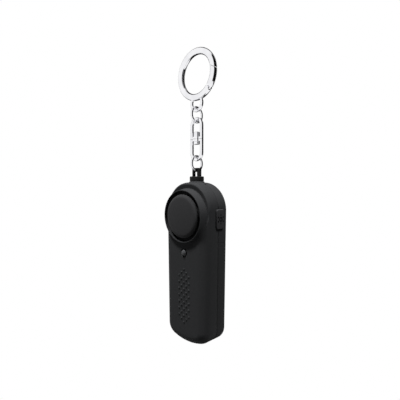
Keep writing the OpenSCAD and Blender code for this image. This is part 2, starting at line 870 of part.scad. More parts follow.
module control_chip() {
    color("black") translate([-chip_size.x / 2, board_back_y, siren_z]) cube(chip_size);
}

module light_switch() {
    color("gray") difference() {
        translate([switch_x - switch_len, board_y - switch_t, button_z - switch_h / 2])
            cube([switch_len, switch_t, switch_h]);
        translate([switch_x - switch_bore_len, plunger_y, button_z]) rotate([0, 90, 0])
            cylinder(d = plunger_d + 2 * run_play, h = switch_bore_len + over);
    }
}

module lamp() {
    dome_y = front_y - lamp_proud + lamp_body_d / 2;
    color("gainsboro") {
        intersection() {
            translate([0, dome_y, lamp_z]) sphere(d = lamp_body_d);
            y_post(lamp_body_d, 0, lamp_z, dome_y - lamp_body_d, dome_y);
        }
        y_post(lamp_body_d, 0, lamp_z, dome_y, front_inner_y + lamp_flange_t);
        y_post(lamp_flange_d, 0, lamp_z, front_inner_y, front_inner_y + lamp_flange_t);
    }
}

module lamp_leads() {
    color("silver") for (side = [-1, 1]) {
        low = [side * lamp_lead_x, lamp_lead_y, lamp_z];
        high = [side * lamp_lead_x, lamp_lead_y, lamp_lead_z];
        rod([low.x, front_inner_y + lamp_flange_t, lamp_z], low, lamp_lead_d);
        rod(low, high, lamp_lead_d);
        rod(high, [high.x, board_y, high.z], lamp_lead_d);
        translate(low) sphere(d = lamp_lead_d);
        translate(high) sphere(d = lamp_lead_d);
    }
}

module pin_contacts() {
    leaf_x = blade_t / 2 + run_play;
    leaf_y = slide_play - blade_w / 2;
    leaf_z = blade_end + slide_play;
    color("gold") for (side = [0, 1]) mirror([side, 0, 0]) {
        translate([leaf_x, leaf_y, leaf_z]) cube([contact_t, board_y - leaf_y, board_top - leaf_z]);
        translate([leaf_x, board_y - contact_t, leaf_z])
            cube([contact_foot, contact_t, board_top - leaf_z]);
    }
}

module battery_contacts() {
    color("silver") for (side = [-1, 1]) {
        translate([side * cell_x - contact_w / 2, contact_y0, contact_top_z])
            cube([contact_w, contact_h, contact_t]);
        contact_tab(side, 0, contact_top_z, board_bottom + contact_tab_reach);
    }
}

// The strip that rises from a contact plate to the front of the board, grown all round
module contact_tab(side, grow, from_z, to_z) {
    translate([side * cell_x - contact_tab_w / 2 - grow, board_y - contact_t - grow, from_z])
        cube([contact_tab_w + 2 * grow, contact_t + 2 * grow, to_z - from_z]);
}

module cell_springs() {
    color("silver") {
        translate([-cell_x, cell_y, link_plate_z + run_play])
            coil_spring(spring_base_r, spring_tip_r, spring_room - 2 * run_play, spring_turns, spring_wire);
        translate([cell_x, cell_y, contact_top_z - run_play]) rotate([180, 0, 0])
            coil_spring(spring_base_r, spring_tip_r, spring_room - 2 * run_play, spring_turns, spring_wire);
    }
}

module series_link() {
    color("silver") translate([-cell_x - contact_w / 2, contact_y0, tray_bottom])
        cube([2 * cell_x + contact_w, contact_h, contact_t]);
}

// One cell standing on its flat end, with its terminal up
module cell() {
    can_len = cell_len - cell_nub_h;
    end_d = cell_d - 2 * cell_edge;
    cylinder(d1 = end_d, d2 = cell_d, h = cell_edge);
    translate([0, 0, cell_edge]) cylinder(d = cell_d, h = can_len - 2 * cell_edge);
    translate([0, 0, can_len - cell_edge]) cylinder(d1 = cell_d, d2 = end_d, h = cell_edge);
    cylinder(d = cell_nub_d, h = cell_len);
}

module cell_left() {
    color("darkorange") translate([-cell_x, cell_y, contact_top_z - cell_len]) cell();
}

module cell_right() {
    color("darkorange") translate([cell_x, cell_y, link_plate_z + cell_len]) rotate([180, 0, 0]) cell();
}

// A pan-head screw along Y: its head sits at y = 0 and its shank points to -Y
module screw(len) {
    y_post(screw_head_d, 0, 0, 0, screw_head_h);
    y_post(screw_d, 0, 0, -len, screw_head_h / 2);
}

module shell_screws() {
    color("silver") for (place = shell_screw_places)
        translate([place.x, screw_seat_y, place.y]) screw(screw_seat_y - screw_end_y);
}

module tray_screws() {
    color("silver") for (z = tray_screw_places) translate([0, tray_floor_y, z]) screw(tray_screw_len);
}

// Light button

module light_button() {
    color([0.2, 0.2, 0.21]) {
        button_block(0, button_inner_x, button_face_x - button_edge);
        button_block(-button_edge / 2, button_inner_x, button_face_x);
        button_block(button_flange, button_inner_x, button_flange_x);
    }
}

module switch_plunger() {
    color("black") translate([button_inner_x - plunger_len, plunger_y, button_z]) rotate([0, 90, 0])
        cylinder(d = plunger_d, h = plunger_len);
}

// Pull pin

module pull_pin() {
    color([0.1, 0.1, 0.11]) {
        difference() {
            translate([-eye_w / 2, -eye_t / 2, plug_top - plug_edge])
                cube([eye_w, eye_t, eye_h + plug_edge]);
            translate([eye_hole_shift - eye_hole_w / 2, -eye_t, plug_top])
                cube([eye_hole_w, 2 * eye_t, eye_hole_top - plug_top]);
        }
        translate([0, 0, plug_bottom]) cylinder(d = plug_d, h = plug_h - plug_edge);
        translate([0, 0, plug_top - plug_edge])
            cylinder(d1 = plug_d, d2 = plug_d - 2 * plug_edge, h = plug_edge);
        translate([0, 0, shank_end]) cylinder(d = shank_d, h = shank_len + plug_edge);
        translate([-blade_t / 2, -blade_w / 2, blade_end]) cube([blade_t, blade_w, blade_len + plug_edge]);
    }
}

// Chain

module lower_link() {
    color("silver") translate([0, 0, lower_link_top]) rotate([0, 0, 90])
        wire_link(link_r, link_wire, lower_link_straight);
}

module swivel_lower_bail() {
    color("silver") translate([0, 0, lower_base]) rotate([180, 0, 0]) swivel_bail(rivet_d);
}

module swivel_rivet() {
    color("lightgray") {
        translate([0, 0, lower_base - bail_base_t - rivet_lower_h]) {
            cylinder(d = rivet_head_d, h = rivet_lower_h);
            cylinder(d = rivet_d, h = rivet_len);
        }
        translate([0, 0, upper_base + bail_base_t + run_play])
            cylinder(d = rivet_head_d, h = rivet_upper_h);
    }
}

module swivel_upper_bail() {
    color("silver") translate([0, 0, upper_base]) swivel_bail(rivet_d + 2 * run_play);
}

module upper_link() {
    color("silver") translate([0, 0, upper_link_top]) rotate([0, 0, 90])
        wire_link(link_r, link_wire, upper_link_straight);
}

// Key ring

module key_ring() {
    color("silver") difference() {
        union() {
            ring_arc(ring_wire, gate_joint - bevel_room_turn,
                360 - gate_arc + bevel_room_turn + 1.1 * knuckle_turn);
            translate([0, 0, eyelet_z + eyelet_r]) wire_link(eyelet_r, eyelet_wire, eyelet_straight);
        }
        gate_cut(-1);
        difference() {
            ring_band(2 * ring_wire, 2 * ring_wire, gate_hinge, 2 * knuckle_turn);
            at_ring(gate_hinge) y_rod(2 * knuckle_r, 3 * ring_wire);
        }
        at_ring(gate_hinge) y_rod(2 * (tongue_r + tongue_room), tongue_slot_t);
        ring_band(2 * ring_wire, tongue_slot_t, gate_hinge, 2 * knuckle_turn);
        at_ring(gate_hinge) y_rod(gate_pin_d, 2 * ring_wire);
        ring_arc(gate_spring_d + 2 * run_play, gate_spring_end, gate_spring_turn + knuckle_turn);
    }
}

module ring_gate() {
    color("gainsboro") difference() {
        union() {
            difference() {
                ring_arc(ring_wire, gate_hinge + gate_bar_turn, gate_arc - gate_bar_turn + bevel_room_turn);
                gate_cut(1);
            }
            at_ring(gate_hinge) y_rod(2 * tongue_r, gate_tongue_t);
            ring_band(2 * tongue_r, gate_tongue_t, gate_hinge, 2 * gate_bar_turn);
        }
        at_ring(gate_hinge) y_rod(gate_pin_d + 2 * run_play, 2 * ring_wire);
    }
}

module gate_pin() {
    color("gray") at_ring(gate_hinge) y_rod(gate_pin_d, gate_pin_len);
}

module gate_spring() {
    color("gray") difference() {
        ring_arc(gate_spring_d, gate_spring_end, gate_spring_turn);
        ring_arc(gate_spring_d - 2 * gate_spring_wall, gate_spring_end - over, gate_spring_turn + 2 * over);
    }
}

front_shell();
rear_shell();
battery_door();
battery_tray();
siren_cap();
siren_gasket();
piezo_plate();
piezo_ceramic();
siren_holder();
piezo_leads();
circuit_board();
boost_coil();
control_chip();
light_switch();
lamp();
lamp_leads();
pin_contacts();
battery_contacts();
cell_springs();
series_link();
cell_left();
cell_right();
shell_screws();
tray_screws();
light_button();
switch_plunger();
pull_pin();
lower_link();
swivel_lower_bail();
swivel_rivet();
swivel_upper_bail();
upper_link();
key_ring();
ring_gate();
gate_pin();
gate_spring();
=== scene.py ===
"""Visual model of a personal safety alarm on its key ring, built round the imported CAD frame.

Sizes are in millimetres in the part's own frame: the origin is the middle of the key ring, +Z is up
and the casing's front faces -Y. They become metres where a mesh is made.
"""

import json
import logging
import math
from collections.abc import Callable, Sequence
from dataclasses import dataclass, field
from enum import Enum
from functools import cache

import bmesh
import bpy
import numpy as np
from mathutils import Matrix, Vector
from mathutils.geometry import delaunay_2d_cdt

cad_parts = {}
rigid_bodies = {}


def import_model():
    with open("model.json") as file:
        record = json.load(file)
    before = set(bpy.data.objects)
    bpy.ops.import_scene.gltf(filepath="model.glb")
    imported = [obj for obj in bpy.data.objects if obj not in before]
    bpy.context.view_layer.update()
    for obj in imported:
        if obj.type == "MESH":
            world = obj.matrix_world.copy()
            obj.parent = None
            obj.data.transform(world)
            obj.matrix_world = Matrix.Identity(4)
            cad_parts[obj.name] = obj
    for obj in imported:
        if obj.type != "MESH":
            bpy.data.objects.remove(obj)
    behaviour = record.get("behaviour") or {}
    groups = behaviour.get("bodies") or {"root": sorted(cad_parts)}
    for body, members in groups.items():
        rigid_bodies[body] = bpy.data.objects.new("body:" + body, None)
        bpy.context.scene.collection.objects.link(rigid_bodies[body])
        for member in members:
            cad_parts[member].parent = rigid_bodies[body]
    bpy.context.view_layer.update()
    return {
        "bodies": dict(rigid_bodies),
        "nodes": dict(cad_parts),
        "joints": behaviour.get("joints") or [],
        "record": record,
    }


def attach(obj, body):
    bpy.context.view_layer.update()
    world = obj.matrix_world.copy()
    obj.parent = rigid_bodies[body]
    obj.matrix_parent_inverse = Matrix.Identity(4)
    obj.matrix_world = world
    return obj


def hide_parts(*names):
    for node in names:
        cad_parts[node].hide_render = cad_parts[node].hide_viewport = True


LOG = logging.getLogger("alarm")
MM = 0.001
QUARTER = math.pi / 2
# Angles in degrees above which an edge is shaded sharp, and above which it is rounded
SHARP = 35.0
BEVEL_FROM = 40.0
# Depth of the relief in a finish, in millimetres
RELIEF = 0.05
WHITE = "#ffffff"
# How far a cutting solid reaches past what it cuts, and the steps of an oval's end
PAST = 1.0
OVAL_STEPS = 48

Point2 = tuple[float, float]
Point3 = tuple[float, float, float]
Object = bpy.types.Object
Material = bpy.types.Material
NodeTree = bpy.types.NodeTree
Socket = bpy.types.NodeSocket


class Slot(Enum):
    """Material slots of the record, which the finishes carry."""

    CASING = "casing_plastic"
    BUTTON = "button_plastic"
    PIN = "pin_plastic"
    LAMP = "lamp_lens"
    CONTACT = "contact_steel"
    CELL = "cell_jacket"
    CHROME = "chrome_plate"


class Axis(Enum):
    """Direction of a turned or straight solid's axis."""

    X = 0
    Y = 1
    Z = 2

    def place(self, centre: Point3, across: float, up: float, along: float) -> Point3:
        """Puts a point given square to the axis and along it.

        Args:
            centre: point that the axis goes through.
            across: distance along the next axis in the order X, Y, Z.
            up: distance along the axis after that.
            along: distance along this axis.

        Returns:
            The point in the part's frame.
        """
        point = list(centre)
        for step, distance in enumerate((along, across, up)):
            point[(self.value + step) % 3] += distance
        return (point[0], point[1], point[2])


class Cut(Enum):
    """How one solid acts on another."""

    AWAY = "DIFFERENCE"
    JOIN = "UNION"
    KEEP = "INTERSECT"


def metres(point: Sequence[float]) -> tuple[float, ...]:
    """Turns millimetres into metres."""
    return tuple(value * MM for value in point)


def linear(code: str) -> tuple[float, float, float, float]:
    """Turns an sRGB hex colour into a linear one.

    Args:
        code: colour as "#rrggbb".

    Returns:
        Linear red, green and blue, with an alpha of 1.
    """
    levels = [int(code[i : i + 2], 16) / 255 for i in (1, 3, 5)]
    red, green, blue = (v / 12.92 if v <= 0.04045 else ((v + 0.055) / 1.055) ** 2.4 for v in levels)
    return (red, green, blue, 1.0)


def per_mm(size: float) -> float:
    """Scale of a texture on Object coordinates whose features are about that many millimetres across."""
    return 1 / (size * MM)


def add_node(
    tree: NodeTree, kind: str, settings: dict | None = None, links: dict | None = None
) -> bpy.types.Node:
    """Adds one node with its settings and links.

    Args:
        tree: node tree that it goes in.
        kind: Blender's name for the type of node.
        settings: values by attribute, or by the name or number of an input; a ramp's places and colours
            are its "stops".
        links: output sockets by the name or number of the input that they feed.

    Returns:
        The new node.
    """
    node = tree.nodes.new(kind)
    for key, value in (settings or {}).items():
        if key == "stops":
            for position, _ in value[1:-1]:
                node.color_ramp.elements.new(position)
            for element, (position, code) in zip(node.color_ramp.elements, value):
                element.position, element.color = position, linear(code)
        elif isinstance(key, str) and hasattr(node, key):
            setattr(node, key, value)
        else:
            node.inputs[key].default_value = value
    for key, socket in (links or {}).items():
        tree.links.new(socket, node.inputs[key])
    return node


def new_material(name: str) -> tuple[Material, NodeTree]:
    """Makes an empty material.

    Args:
        name: its name, after the real material and how it was made.

    Returns:
        The material and its node tree.
    """
    material = bpy.data.materials.new(name)
    material.use_nodes = True
    material.node_tree.nodes.clear()
    return material, material.node_tree


def close_surface(tree: NodeTree, shader: bpy.types.Node) -> None:
    """Leads a shader to the material's output."""
    add_node(tree, "ShaderNodeOutputMaterial", links={"Surface": shader.outputs[0]})


@dataclass(frozen=True)
class Finish:
    """A material of the alarm, with the record's slot for new pieces that take it."""

    name: str
    slot: Slot | None = field(default=None, kw_only=True)

    @cache
    def material(self) -> Material:
        """Makes the material when it is first asked for.

        Returns:
            The material.
        """
        material, tree = new_material(self.name)
        self.paint(tree, {"Vector": add_node(tree, "ShaderNodeTexCoord").outputs["Object"]})
        return material

    def paint(self, tree: NodeTree, place: dict[str, Socket]) -> None:
        """Adds the nodes of the finish, which are linked to the place on the piece."""
        raise NotImplementedError

    @staticmethod
    def close(
        tree: NodeTree,
        sheen: bpy.types.Node,
        gloss: tuple[float, float, float, float],
        relief: bpy.types.Node,
        bump: float,
        settings: dict,
        tint: bpy.types.Node | None = None,
    ) -> None:
        """Ends the finish with a shader whose gloss and relief follow its patterns.

        Args:
            tree: the finish's node tree.
            sheen: pattern that the roughness follows.
            gloss: two levels of that pattern and the roughness at them.
            relief: pattern that stands out of the surface.
            bump: strength of that relief.
            settings: the shader's even values.
            tint: its colour, where that isn't even.
        """
        levels = dict(zip(("From Min", "From Max", "To Min", "To Max"), gloss))
        rough = add_node(tree, "ShaderNodeMapRange", levels, {"Value": sheen.outputs["Fac"]})
        depth = {"Strength": bump, "Distance": RELIEF * MM}
        dents = add_node(tree, "ShaderNodeBump", depth, {"Height": relief.outputs["Fac"]})
        links = {"Roughness": rough.outputs[0], "Normal": dents.outputs[0]}
        if tint is not None:
            links["Base Color"] = tint.outputs["Color"]
        close_surface(tree, add_node(tree, "ShaderNodeBsdfPrincipled", settings, links))


@dataclass(frozen=True)
class MouldedPlastic(Finish):
    """Moulded plastic from a spark-eroded tool: a fine even grain that softens every reflection."""

    colour: str
    grain_colour: str
    roughness: float
    specular: float = 0.25
    # The tool's grain is about 0.1 mm, too fine to show at this size, so it is drawn coarser
    grain: float = 0.45
    bump: float = 0.1
    # Slow change over a few centimetres, as flow and handling leave it
    flow: float = 16.0
    flow_change: float = 0.05

    def paint(self, tree: NodeTree, place: dict[str, Socket]) -> None:
        """Adds the nodes: tint and relief by the grain, gloss by the flow.

        Args:
            tree: the finish's node tree.
            place: link to the place on the piece.
        """
        fine = {"Scale": per_mm(self.grain), "Detail": 3.0, "Roughness": 0.6}
        grain = add_node(tree, "ShaderNodeTexNoise", fine, place)
        flow = add_node(tree, "ShaderNodeTexNoise", {"Scale": per_mm(self.flow), "Detail": 2.0}, place)
        stops = ((0.3, self.colour), (0.7, self.grain_colour))
        tint = add_node(tree, "ShaderNodeValToRGB", {"stops": stops}, {"Fac": grain.outputs["Fac"]})
        gloss = (0.3, 0.7, self.roughness - self.flow_change, self.roughness + self.flow_change)
        settings = {"IOR": 1.53, "Specular IOR Level": self.specular}
        self.close(tree, flow, gloss, grain, self.bump, settings, tint)


@dataclass(frozen=True)
class PlatedMetal(Finish):
    """Metal with a plated or rolled skin: mirror-like, with slow waves and hairlines that bend reflections."""

    colour: str
    shade_colour: str
    roughness: float
    # Polishing waves, and hairlines drawn wider than the real ones of a few hundredths of a millimetre
    wave: float = 5.0
    hairline: float = 0.3
    bump: float = 0.02

    def paint(self, tree: NodeTree, place: dict[str, Socket]) -> None:
        """Adds the nodes: tint by the waves, gloss and relief by the hairlines.

        Args:
            tree: the finish's node tree.
            place: link to the place on the piece.
        """
        wave = add_node(tree, "ShaderNodeTexNoise", {"Scale": per_mm(self.wave), "Detail": 2.0}, place)
        fine = {"Scale": per_mm(self.hairline), "Detail": 3.0}
        hairline = add_node(tree, "ShaderNodeTexNoise", fine, place)
        stops = ((0.3, self.shade_colour), (0.65, self.colour))
        tint = add_node(tree, "ShaderNodeValToRGB", {"stops": stops}, {"Fac": wave.outputs["Fac"]})
        gloss = (0.3, 0.7, self.roughness * 0.7, self.roughness * 1.4)
        self.close(tree, hairline, gloss, hairline, self.bump, {"Metallic": 1.0}, tint)


@dataclass(frozen=True)
class CastEpoxy(Finish):
    """Cast epoxy with a little cloud in it: faintly uneven, and dark with the lamp off."""

    colour: str
    roughness: float = 0.4
    clear: float = 0.1
    ripple: float = 1.2
    bump: float = 0.04

    def paint(self, tree: NodeTree, place: dict[str, Socket]) -> None:
        """Adds the nodes: gloss and relief by a ripple.

        Args:
            tree: the finish's node tree.
            place: link to the place on the piece.
        """
        ripple = add_node(tree, "ShaderNodeTexNoise", {"Scale": per_mm(self.ripple), "Detail": 2.0}, place)
        gloss = (0.0, 1.0, self.roughness * 0.5, self.roughness * 1.5)
        body = {"Base Color": linear(self.colour), "Transmission Weight": self.clear}
        self.close(tree, ripple, gloss, ripple, self.bump, {**body, "IOR": 1.55, "Specular IOR Level": 0.15})


@dataclass(frozen=True)
class FoilJacket(Finish):
    """Cell in a plain foil jacket: a coloured metallic sleeve in two bands, with bare steel at both ends."""

    lower_colour: str
    upper_colour: str
    low: float
    change_z: float
    high: float
    steel_colour: str = "#c4c4c2"
    # Share of the length that is bare at each end
    bare: float = 0.035
    scuff: float = 1.5
    bump: float = 0.05
    # Roughness of the rubbed and the clean foil
    gloss: Point2 = (0.22, 0.42)

    def paint(self, tree: NodeTree, place: dict[str, Socket]) -> None:
        """Adds the nodes: bands by the height, gloss and relief by scuffs.

        Args:
            tree: the finish's node tree.
            place: link to the place on the piece.
        """
        height = add_node(tree, "ShaderNodeSeparateXYZ", links=place).outputs["Z"]
        span = {"From Min": self.low * MM, "From Max": self.high * MM}
        share = add_node(tree, "ShaderNodeMapRange", span, {"Value": height})
        stops = (
            (0.0, self.steel_colour),
            (self.bare, self.lower_colour),
            ((self.change_z - self.low) / (self.high - self.low), self.upper_colour),
            (1 - self.bare, self.steel_colour),
        )
        bands = add_node(tree, "ShaderNodeValToRGB", {"stops": stops}, {"Fac": share.outputs[0]})
        bands.color_ramp.interpolation = "CONSTANT"
        scuff = add_node(tree, "ShaderNodeTexNoise", {"Scale": per_mm(self.scuff), "Detail": 4.0}, place)
        self.close(tree, scuff, (0.0, 1.0, *self.gloss), scuff, self.bump, {"Metallic": 0.85}, bands)


class Finishes:
    """Every finish of the alarm but the cells' jackets."""

    # Black ABS: dark grey where light falls on it, with a soft broad sheen
    SHELL = MouldedPlastic("abs_moulded_fine_grain", "#292a2b", "#303031", 0.56, 0.03, slot=Slot.CASING)
    # The cap's tool is a little smoother than the shell's
    CAP = MouldedPlastic("abs_moulded_satin", "#2b2b2c", "#313132", 0.5, 0.03, slot=Slot.CASING)
    BUTTON = MouldedPlastic("abs_moulded_button", "#2d2d2e", "#343435", 0.55, 0.03, slot=Slot.BUTTON)
    # Ink on the button: flat and darker than the plastic
    INK = MouldedPlastic("pad_printed_ink", "#070707", "#0b0b0b", 0.7, 0.03, slot=Slot.BUTTON)
    # Black nylon: waxy, deeper than the shell
    PIN = MouldedPlastic("nylon_moulded_satin", "#1b1b1b", "#222222", 0.45, 0.04, slot=Slot.PIN)
    INNER = MouldedPlastic("abs_moulded_plain", "#333335", "#3b3b3d", 0.55, 0.4)
    RUBBER = MouldedPlastic("foam_rubber_cut", "#393939", "#2c2c2c", 0.85, grain=0.6, bump=0.5)
    FERRITE = MouldedPlastic("ferrite_ground", "#403b3b", "#474242", 0.7, grain=0.3, bump=0.3)
    BOARD = MouldedPlastic("laminate_solder_masked", "#1c6338", "#237043", 0.3, 0.5)
    CERAMIC = MouldedPlastic("ceramic_fired", "#e2dcce", "#d8d1c2", 0.35, 0.5)
    LEAD = MouldedPlastic("pvc_extruded", "#b4312f", "#a62b2a", 0.35, 0.5)
    CHIP = MouldedPlastic("epoxy_moulded_package", "#1a1a1b", "#222223", 0.6, 0.4)
    # Bright chrome over polished steel: white surroundings and dark lines, very little colour of its own
    CHROME = PlatedMetal("steel_chrome_plated", "#f4f4f6", "#eaeaed", 0.05, slot=Slot.CHROME)
    NICKEL = PlatedMetal(
        "steel_nickel_plated", "#c9c7c0", "#bab7ae", 0.24, wave=3, bump=0.06, slot=Slot.CONTACT
    )
    BRASS = PlatedMetal("brass_rolled", "#dcbf82", "#cdae6d", 0.3, wave=4, bump=0.08)
    BLACKENED = PlatedMetal("steel_blackened", "#5d5d60", "#4a4a4d", 0.34, wave=2, bump=0.1, slot=Slot.CONTACT)
    EPOXY = CastEpoxy("epoxy_cast_clouded", "#3e3f41", slot=Slot.LAMP)


class Draft:
    """Points in millimetres and faces of a mesh that is being made, solid by solid."""

    def __init__(self) -> None:
        """Starts with nothing in it."""
        self.points: list[Point3] = []
        self.faces: list[tuple[int, ...]] = []

    def ring(self, points: Sequence[Point3]) -> list[int]:
        """Adds points.

        Args:
            points: places in millimetres.

        Returns:
            Their numbers in the draft.
        """
        start = len(self.points)
        self.points.extend((float(x), float(y), float(z)) for x, y, z in points)
        return list(range(start, len(self.points)))

    def skin(self, rings: Sequence[Sequence[int]], closed: bool = True) -> None:
        """Joins rings of points, one after the other, into a surface.

        Args:
            rings: numbers of the points of each ring; a ring of one point is a pole.
            closed: whether each ring goes all the way round.
        """
        for low, high in zip(rings, rings[1:]):
            count = max(len(low), len(high))
            for i in range(count if closed else count - 1):
                j = (i + 1) % count
                if len(low) == 1:
                    self.faces.append((low[0], high[j], high[i]))
                elif len(high) == 1:
                    self.faces.append((low[i], low[j], high[0]))
                else:
                    self.faces.append((low[i], low[j], high[j], high[i]))

    def loft(self, rings: Sequence[Sequence[Point3]], hollow: bool = False) -> "Draft":
        """Joins rings of points into a solid.

        Args:
            rings: points of each ring, in order; a ring of one point is a pole.
            hollow: whether the last ring joins the first, where there would otherwise be two flat ends.

        Returns:
            The draft.
        """
        numbers = [self.ring(points) for points in rings]
        self.skin([*numbers, numbers[0]] if hollow else numbers)
        if not hollow:
            self.faces += [tuple(end) for end in (numbers[0], numbers[-1]) if len(end) > 2]
        return self

    def turn(
        self, profile: Sequence[Point2], axis: Axis, centre: Point3, sides: int, hollow: bool = False
    ) -> "Draft":
        """Turns a profile into a solid.

        Args:
            profile: pairs of radius and distance along the axis, from end to end.
            axis: direction of the axis.
            centre: point on the axis that the distances start from.
            sides: number of points round it.
            hollow: whether the profile goes back to its start, off the axis.

        Returns:
            The draft.
        """
        rings: list[list[Point3]] = []
        for radius, along in profile:
            angles = [2 * math.pi * i / sides for i in range(sides if radius > 1e-6 else 1)]
            ring = [(radius * math.cos(a), radius * math.sin(a)) for a in angles]
            rings.append([axis.place(centre, across, up, along) for across, up in ring])
        return self.loft(rings, hollow)

    def prism(self, outline: Sequence[Point2], axis: Axis, centre: Point3, ends: Point2) -> "Draft":
        """Adds a straight solid with that outline between two distances along an axis."""
        return self.loft([[axis.place(centre, a, u, along) for a, u in outline] for along in ends])

    def block(self, low: Point3, high: Point3) -> "Draft":
        """Adds a box between two corners."""
        plan = ((low[0], low[1]), (high[0], low[1]), (high[0], high[1]), (low[0], high[1]))
        return self.prism(plan, Axis.Z, (0, 0, 0), (low[2], high[2]))

    def plate(self, loops: Sequence[np.ndarray], axis: Axis, centre: Point3, thickness: float) -> "Draft":
        """Adds a flat plate with holes through it.

        Args:
            loops: its outer edge and the edges of its holes, square to the axis.
            axis: direction that it is thick in.
            centre: middle of its first face.
            thickness: distance to its second face.

        Returns:
            The draft.
        """
        flat = np.concatenate(loops)
        starts = np.cumsum([0, *(len(loop) for loop in loops)])
        numbers = [list(range(starts[i], starts[i + 1])) for i in range(len(loops))]
        triangles = mesh_region(flat, numbers)
        sides = [self.ring([axis.place(centre, a, u, along) for a, u in flat]) for along in (0.0, thickness)]
        for side in sides:
            self.faces.extend(tuple(side[i] for i in triangle) for triangle in triangles)
        for loop in numbers:
            self.skin([[side[i] for i in loop] for side in sides])
        return self

    def piece(self, name: str, sharp: float = SHARP) -> Object:
        """Makes the mesh and an object that holds it.

        Args:
            name: name of the object.
            sharp: angle in degrees above which an edge is shaded sharp.

        Returns:
            The object, at the origin.
        """
        mesh = bpy.data.meshes.new(name)
        mesh.from_pydata([metres(point) for point in self.points], [], self.faces)
        tidy_mesh(mesh, sharp)
        return put_object(name, mesh)


def tidy_mesh(mesh: bpy.types.Mesh, sharp: float = SHARP) -> None:
    """Merges doubles, turns faces outwards and shades smooth.

    Args:
        mesh: the mesh to tidy.
        sharp: angle in degrees above which an edge is shaded sharp.
    """
    work = bmesh.new()
    work.from_mesh(mesh)
    bmesh.ops.remove_doubles(work, verts=work.verts, dist=2e-4 * MM)
    bmesh.ops.dissolve_degenerate(work, edges=work.edges, dist=1e-4 * MM)
    bmesh.ops.recalc_face_normals(work, faces=work.faces)
    work.to_mesh(mesh)
    work.free()
    mesh.polygons.foreach_set("use_smooth", [True] * len(mesh.polygons))
    mesh.set_sharp_from_angle(angle=math.radians(sharp))
    mesh.update()


def put_object(name: str, data: bpy.types.ID) -> Object:
    """Makes an object and puts it in the scene.

    Args:
        name: name of the object.
        data: its mesh, curve, light or camera.

    Returns:
        The object.
    """
    piece = bpy.data.objects.new(name, data)
    bpy.context.scene.collection.objects.link(piece)
    return piece


def drop_object(piece: Object) -> None:
    """Removes a helper object and its mesh or curve.

    Args:
        piece: the helper.
    """
    data = piece.data
    bpy.data.objects.remove(piece)
    (bpy.data.meshes if isinstance(data, bpy.types.Mesh) else bpy.data.curves).remove(data)


def settled(piece: Object, name: str) -> bpy.types.Mesh:
    """Mesh of an object as its modifiers leave it.

    Args:
        piece: object with modifiers, which are removed.
        name: name of the new mesh.

    Returns:
        A plain mesh, tidied.
    """
    graph = bpy.context.evaluated_depsgraph_get()
    mesh = bpy.data.meshes.new_from_object(piece.evaluated_get(graph), depsgraph=graph)
    mesh.name = name
    piece.modifiers.clear()
    tidy_mesh(mesh)
    return mesh


def carve(piece: Object, tool: Object, cut: Cut = Cut.AWAY) -> None:
    """Cuts a piece with another solid, which is used up.

    Args:
        piece: piece that is changed.
        tool: solid that acts on it.
        cut: what it does.
    """
    change = piece.modifiers.new("cut", "BOOLEAN")
    change.operation = cut.value
    change.solver = "EXACT"
    change.object = tool
    old = piece.data
    piece.data = settled(piece, piece.name)
    bpy.data.meshes.remove(old)
    drop_object(tool)


def soften(piece: Object, width: float, segments: int = 2) -> None:
    """Rounds a piece's sharp edges with a bevel.

    Args:
        piece: piece to soften.
        width: width of the rounding.
        segments: faces across it.
    """
    bevel = piece.modifiers.new("edge", "BEVEL")
    bevel.width = width * MM
    bevel.segments = segments
    bevel.limit_method = "ANGLE"
    bevel.angle_limit = math.radians(BEVEL_FROM)
    bevel.harden_normals = True


def dress(piece: Object, finish: Finish, body: str, *nodes: str) -> None:
    """Gives a piece its finish and its place in the frame.

    Args:
        piece: finished piece.
        finish: its finish.
        body: CAD body that it moves with.
        nodes: CAD nodes that it stands for.
    """
    piece.data.materials.clear()
    piece.data.materials.append(finish.material())
    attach(piece, body)
    if nodes:
        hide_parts(*nodes)
    LOG.info("%s rides on %s, %d faces", piece.name, body, len(piece.data.polygons))


def eased(corners: Sequence[Point3], closed: bool = False, steps: int = 6) -> list[Point2]:
    """Path through corners that are rounded.

    Args:
        corners: across, up and rounding radius of each corner.
        closed: whether the path goes back to its start.
        steps: points on each rounding.

    Returns:
        The points of the path.
    """
    path: list[Point2] = []
    count = len(corners)
    for i, (across, up, radius) in enumerate(corners):
        here = Vector((across, up))
        if radius <= 0 or (not closed and i in (0, count - 1)):
            path.append((across, up))
            continue
        back = (Vector(corners[i - 1][:2]) - here).normalized()
        on = (Vector(corners[(i + 1) % count][:2]) - here).normalized()
        half = back.angle(on) / 2
        middle = here + (back + on).normalized() * radius / math.sin(half)
        start = here + back * radius / math.tan(half) - middle
        end = here + on * radius / math.tan(half) - middle
        sweep = start.angle_signed(end)
        for step in range(steps + 1):
            spoke = Matrix.Rotation(-sweep * step / steps, 2) @ start
            path.append((middle.x + spoke.x, middle.y + spoke.y))
    return path


def rounded_rect(across: float, up: float, radius: float, steps: int = 10) -> list[Point2]:
    """Outline of a rectangle with rounded corners, centred on its middle."""
    a, u = across / 2, up / 2
    return eased([(a, -u, radius), (a, u, radius), (-a, u, radius), (-a, -u, radius)], True, steps)


def quarter_round(steps: int) -> list[Point2]:
    """Points of a quarter circle of radius 1 that starts level at the origin and ends upright at (1, 1)."""
    return [(math.sin(QUARTER * k / steps), 1 - math.cos(QUARTER * k / steps)) for k in range(steps + 1)]


def oval(radius: float, straight: float, top: float) -> list[Point2]:
    """Oval with straight sides.

    Args:
        radius: radius of its two ends.
        straight: length of its straight sides.
        top: height of its upper end.

    Returns:
        Its points across and up, the upper end first.
    """
    path: list[Point2] = []
    for start, centre in ((0.0, top - radius), (math.pi, top - radius - straight)):
        angles = [start + math.pi * k / OVAL_STEPS for k in range(OVAL_STEPS + 1)]
        path += [(radius * math.cos(a), centre + radius * math.sin(a)) for a in angles]
    return path


